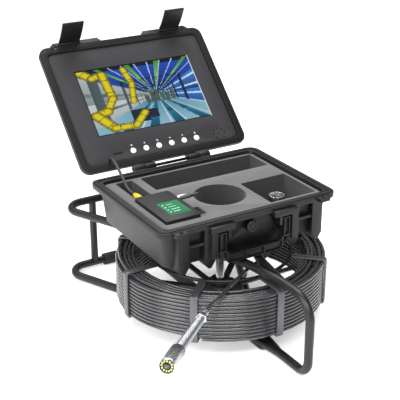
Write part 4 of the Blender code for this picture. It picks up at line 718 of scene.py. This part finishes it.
label = painted_sheet("control_box_label", (-0.0155, -0.0205, -0.0003), (0.0155, 0.0205, 0.0002), 0.0007,
                      label_print, Matrix.Translation((-0.0822, -0.0125, box_high.z)), label_film, "print")
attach(label, "stand_and_case")
# Worn black oxide on the screws: a dark metal, paler than the pin, with the film's crystals again drawn at 0.7 mm.
screw_steel = two_tone("black oxide on steel screw", "#3C3C3E", "#57575A", 1500, 2, Metallic=1.0, Roughness=0.35)
screw_inset = 0.0052
screw_places = [(x, y) for x in (box_low.x + screw_inset, box_high.x - screw_inset)
                for y in (box_low.y + screw_inset, box_high.y - screw_inset)]
for i, (x, y) in enumerate(screw_places):
    screw = lathe("cover_screw_%d" % (i + 1), [(0, -0.0012), (0.0019, -0.0012), (0.0022, 0.00005), (0.0019, 0.00030),
                                               (0.0009, 0.00036), (0.0009, -0.0006), (0, -0.0006)], screw_steel,
                  Matrix.Translation((x, y, box_high.z)), steps=20)
    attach(screw, "stand_and_case")
finished_copy("slip_ring", "slip_ring_moulded", box_plastic, edge=0.0006)
finished_copy("memory_card", "memory_card_moulded", box_plastic, edge=0.0002, body="memory_card")
finished_copy("data_connector", "data_connector_turned", bright_steel, edge=0.0002)
finished_copy("skid_frame", "skid_frame_turned", stainless, edge=0.0003, body="skid")
for i in range(1, 4):
    finished_copy("skid_wheel_%d" % i, "skid_tyre_%d" % i, foot_rubber, edge=0.0003, body="skid_wheel_%d" % i)
# Pieces shut inside the box and the bezel: smooth blue film, green lacquer and dull paper.  Each is mottled in
# patches of 5.5 mm, by creases, copper and fibres.
for node, name, dark, pale, rough in (
        ("battery_pack", "blue shrink film on a lithium pack", "#1C3C7C", "#24488C", 0.35),
        ("main_board", "green solder mask on glass epoxy board", "#0E4A22", "#17602F", 0.4),
        ("speaker", "coated black paper cone", "#0D0D0D", "#1C1C1C", 0.8)):
    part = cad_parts[node]
    part.data.materials.clear()
    part.data.materials.append(two_tone(name, dark, pale, 180, 3, Roughness=rough, IOR=1.5))

# ------------------------------------------------------------------------------------------ monitor
# A moulded ABS bezel is screwed into the lid over a 9 inch LCD.  Six white push buttons, a memory card's slot and
# the speaker's holes are in it, and small signs are pad-printed over the buttons.

# Spark textured ABS: a flat dark grey.  Its grain of 0.3 mm is drawn 0.8 mm wide, so that it shows.
bezel_plastic, shader = surface("spark textured grey ABS", IOR=1.53, Specular_IOR_Level=0.3)
spot = add_node(bezel_plastic, "ShaderNodeTexCoord").outputs["Object"]
spark = add_node(bezel_plastic, "ShaderNodeTexNoise", {"Vector": spot, "Scale": 1300, "Detail": 4}).outputs["Fac"]
tone = add_node(bezel_plastic, "ShaderNodeMix", {"Factor": spark, "A": linear("#2B2B2D"), "B": linear("#343436")},
                data_type="RGBA")
bump = add_node(bezel_plastic, "ShaderNodeBump", {"Height": spark, "Strength": 0.3, "Distance": 0.00012})
plug_in(bezel_plastic, shader, Base_Color=tone.outputs["Result"], Normal=bump.outputs["Normal"])
shader.inputs["Roughness"].default_value = 0.75
finished_copy("monitor_panel", "monitor_bezel", bezel_plastic, edge=0.0003, body="lid")

# Glossy ABS: a clean white with a clear highlight, which yellows a trace from cap to cap, over 17 mm.
button_plastic = two_tone("glossy white ABS", "#DCDCDA", "#ECECEA", 60, 2, IOR=1.53, Roughness=0.28)
for i in range(1, 7):
    finished_copy("button_%d" % i, "button_cap_%d" % i, button_plastic, edge=0.0003, body="button_%d" % i)

# LCD under film: black and nearly smooth when off, and lit from within by its picture, a made-up factory hall in
# strict perspective with yellow robot arms in front, and by a painted highlight glowing down its right edge.
lcd, shader = surface("lit LCD panel", Base_Color=linear("#050608"), Roughness=0.10, IOR=1.5, Emission_Strength=0.78)
light = add_node(lcd, "ShaderNodeVertexColor", layer_name="picture").outputs["Color"]
plug_in(lcd, shader, Emission_Color=light)


def near(u, v, a, b):
    """How far a point is from the line between two others, and how far along it that is."""
    du, dv = b[0] - a[0], b[1] - a[1]
    along = max(0.0, min(1.0, ((u - a[0]) * du + (v - a[1]) * dv) / (du * du + dv * dv)))
    return math.hypot(u - a[0] - along * du, v - a[1] - along * dv), along


def blend_of(first, second, share):
    """A colour between two."""
    return [a + (b - a) * share for a, b in zip(linear(first), linear(second))]


def hall(u, v):
    """The colour of the screen at a place, u across and v up from 0 to 1: the hall picture, and a painted highlight
    on its right edge.
    """
    far_u, far_v, aspect = 0.60, 0.47, 1.76
    du, dv = (u - far_u) * aspect, v - far_v
    across, up = abs(du) / 0.85, abs(dv) / 0.50
    reach = max(across, up, 0.05)
    bay = (1.1 / reach) % 1.0
    # roof, floor, right wall and left wall, each with lanes towards the far end and bays across them
    if dv > 0 and up > across * 0.75:
        lane = du / reach
        colour = blend_of("#081A66", "#1C50C4", min(1.0, reach))
        if abs((lane * 2.2 + 0.1) % 1.0 - 0.5) < 0.08:
            colour = blend_of("#3F9A2C", "#8CD850", bay)
        elif abs((lane * 5.1 + 0.3) % 1.0 - 0.5) < 0.05:
            colour = linear("#C8DCF4")
        elif bay < 0.16:
            colour = linear("#060D22")
    elif dv < 0 and up > across * 0.6:
        lane = du / reach
        colour = blend_of("#4C8CA6", "#8FC2D4", min(1.0, reach * 1.2))
        if abs((lane * 2.3) % 1.0 - 0.5) < 0.20:
            colour = blend_of("#124A68", "#1F7EA4", bay)
        elif abs((lane * 4.0 + 0.2) % 1.0 - 0.5) < 0.05:
            colour = linear("#E2F0F6")
    elif du > 0:
        level = dv / reach
        colour = blend_of("#103C8C", "#3D86D8", (level * 2.6) % 1.0)
        if bay < 0.22:
            colour = linear("#0C2450")
        elif abs((level * 5.0) % 1.0 - 0.5) < 0.10:
            colour = linear("#D8F0FF")
    else:
        level = dv / reach
        colour = blend_of("#8E9A9E", "#D6DEDE", (level * 1.7) % 1.0)
        if bay < 0.20 or abs((level * 4.0) % 1.0 - 0.5) < 0.10:
            colour = blend_of("#4A585C", "#7C8C8E", bay)
    # machines at the far end
    for i in range(6):
        left, height = 0.50 + 0.045 * i, 0.10 + 0.05 * ((i * 7) % 4) / 3
        if left < u < left + 0.034 and 0.36 < v < 0.38 + height:
            colour = blend_of("#25332A", "#6F7F68", ((u - left) * 60) % 1.0)
    for left, low, width, height in ((0.33, 0.10, 0.15, 0.20), (0.46, 0.14, 0.10, 0.13)):
        if left < u < left + width and low < v < low + height:
            colour = blend_of("#0A0E1C", "#24304E", ((u + v) * 22) % 1.0)
    # robot arms: thick links with a shaded edge and dark joints
    for a, b, thick in (((0.03, 0.98), (0.12, 0.86), 0.060), ((0.12, 0.86), (0.21, 0.90), 0.050),
                        ((0.21, 0.90), (0.23, 0.52), 0.052), ((0.23, 0.52), (0.15, 0.34), 0.048),
                        ((0.15, 0.34), (0.05, 0.30), 0.062), ((0.05, 0.30), (0.16, 0.08), 0.066),
                        ((0.16, 0.08), (0.34, 0.07), 0.050), ((0.34, 0.07), (0.45, 0.24), 0.046),
                        ((0.40, 0.93), (0.43, 0.70), 0.040), ((0.43, 0.70), (0.39, 0.42), 0.036)):
        gap, along = near(u * 1.3, v, (a[0] * 1.3, a[1]), (b[0] * 1.3, b[1]))
        if gap < thick:
            light = 1.0 - gap / thick
            colour = blend_of("#4A4200", "#F0DC1C", min(1.0, light * 1.5))
            if abs((along * 2.0) % 1.0 - 0.5) < 0.035:
                colour = linear("#5E5410")
    # a thin dark margin, and a painted highlight: a pale line glowing down the right edge
    if u < 0.008 or u > 0.992 or v < 0.012 or v > 0.988:
        colour = linear("#E8F2FF") if u > 0.992 else linear("#0A0F1C")
    return colour


hinge, lid_lean = Vector((0, 0.1387, 0.188)), math.radians(45)
lid_place = Matrix.Translation(hinge) @ Matrix.Rotation(lid_lean, 4, "X")
screen_wide, screen_high, screen_x, screen_up = 0.1970, 0.1118, 0.0022, 0.1197
panel_face, screen_back, screen_front, screen_cell = -0.0040, 0.0068, 0.0008, 0.0010
screen = painted_sheet("lcd_glass",
                       (screen_x - screen_wide / 2, screen_up - screen_high / 2, panel_face - screen_back),
                       (screen_x + screen_wide / 2, screen_up + screen_high / 2, panel_face - screen_front),
                       screen_cell, hall, lid_place, lcd, "picture")
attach(screen, "lid")
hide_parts("lcd_screen")

# A thin sealing bead, moulded with the lid, stands proud all round its rim.
edge_x, near_y, far_y, corner, bead_z, bead_radius = 0.1390, 0.0103, 0.2201, 0.0122, -0.0021, 0.0006
bead_points = []
for cx, cy, start in ((edge_x, far_y, 0), (-edge_x, far_y, 90), (-edge_x, near_y, 180), (edge_x, near_y, 270)):
    for i in range(9):
        angle = math.radians(start + 90 * i / 8)
        bead_points.append(lid_place @ Vector((cx - math.copysign(corner, cx) + corner * math.cos(angle),
                                               cy + (corner if cy < 0.1 else -corner) + corner * math.sin(angle),
                                               bead_z)))
bead = tube_along("lid_sealing_bead", bead_points + bead_points[:1], bead_radius, case_plastic, corners=1)
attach(bead, "lid")

# Pad-printed ink: a thin off-white, uneven in patches of 1.1 mm.  The signs are a dot, an arrow head, bars, two arrow
# heads and a disc with a stroke.
print_white = two_tone("white pad-printed ink", "#B9B9B9", "#DADADA", 900, 2, Roughness=0.5, IOR=1.5)
button_x, button_pitch, sign_up, ink_height = -0.0512, 0.0219, 0.0405, 0.00008


def sign(corners, radius, x, y, turn=0, stretch=(1, 1)):
    """One printed sign: a flat regular outline, thickened."""
    bpy.ops.object.select_all(action="DESELECT")
    bpy.ops.mesh.primitive_circle_add(vertices=corners, radius=radius, fill_type="NGON", location=(0, 0, 0))
    made = bpy.context.object
    bpy.ops.object.mode_set(mode="EDIT")
    bpy.ops.mesh.select_all(action="SELECT")
    bpy.ops.transform.rotate(value=math.radians(turn), orient_axis="Z", center_override=(0, 0, 0))
    bpy.ops.transform.resize(value=(*stretch, 1))
    bpy.ops.mesh.extrude_region_move(TRANSFORM_OT_translate={"value": (0, 0, ink_height)})
    bpy.ops.mesh.select_all(action="SELECT")
    bpy.ops.mesh.normals_make_consistent(inside=False)
    bpy.ops.object.mode_set(mode="OBJECT")
    made.data.transform(lid_place @ Matrix.Translation((x, y, panel_face)))
    made.data.materials.append(print_white)
    return made


signs = [[sign(20, 0.0013, 0, 0)], [sign(3, 0.0017, 0, 0, 90)],
         [sign(4, 0.0024, 0, up, 45, (1, 0.16)) for up in (-0.0012, 0, 0.0012)], [sign(3, 0.0016, 0, 0, 30)],
         [sign(3, 0.0016, 0, 0, -30)], [sign(20, 0.0013, 0, -0.0004), sign(4, 0.0016, 0, 0.0016, 45, (0.2, 0.9))]]
for i, marks in enumerate(signs):
    over_button = lid_place.to_3x3() @ Vector((button_x + button_pitch * i, sign_up, 0))
    bpy.ops.object.select_all(action="DESELECT")
    for mark in marks:
        mark.data.transform(Matrix.Translation(over_button))
        mark.select_set(True)
    bpy.context.view_layer.objects.active = marks[0]
    if len(marks) > 1:
        bpy.ops.object.join()
    marks[0].name = "printed_sign_%d" % (i + 1)
    marks[0].select_set(False)
    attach(marks[0], "lid")

# ------------------------------------------------------------------------------------------ leads
# The monitor's lead is 4.2 mm grey PVC with a yellow plug moulded on.  It comes out of the bezel.  The signal lead is
# a thin one in the push cable's jacket, in a loop under the case to the slip ring.

# Soft PVC: a dull dark grey lead and a clean yellow plug, both with a faint bloom in patches of 3 mm.
lead_jacket = two_tone("extruded grey PVC", "#26262A", "#38383C", 300, 3, IOR=1.5, Roughness=0.45)
plug_plastic = two_tone("moulded yellow PVC", "#D9A916", "#EAC02A", 300, 3, IOR=1.5, Roughness=0.4)
plug = finished_copy("av_plug", "av_plug_moulded", plug_plastic, edge=0.0003)

rim_z = 0.1888
exit_point, out = Vector((-0.0940, 0.15956, 0.20108)), Vector((0, -0.70711, 0.70711))
socket = Vector((-0.1030, 0.0618, 0.1848))
lead_path = smooth([exit_point, exit_point + out * 0.008, (-0.0965, 0.1400, rim_z + 0.0200),
                    (-0.0990, 0.1220, rim_z + 0.0160), (-0.1010, 0.1030, rim_z + 0.0080),
                    (-0.1030, 0.0840, rim_z - 0.0015), socket + Vector((0, 0.010, 0.0002)), socket], 0.004)
lead_radius, signal_radius = 0.0021, 0.0014
lead = tube_along("av_lead_pvc", lead_path, lead_radius, lead_jacket, corners=4)
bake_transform(lead)
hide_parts("av_lead")

under = 0.1313
entry = Vector((0.0128, -0.0040, 0.0491))
loop_path = smooth([(0.0290, -0.0080, under), (0.0293, -0.0095, under - 0.014), (0.0300, -0.0155, under - 0.034),
                    (0.0300, -0.0225, under - 0.054), (0.0282, -0.0262, under - 0.067),
                    (0.0245, -0.0240, entry.z + 0.0070), (0.0190, -0.0130, entry.z + 0.0020), entry], 0.004)
loop = tube_along("signal_lead_loop", loop_path, signal_radius, cable_jacket, corners=3)
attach(loop, "stand_and_case")
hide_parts("signal_lead")
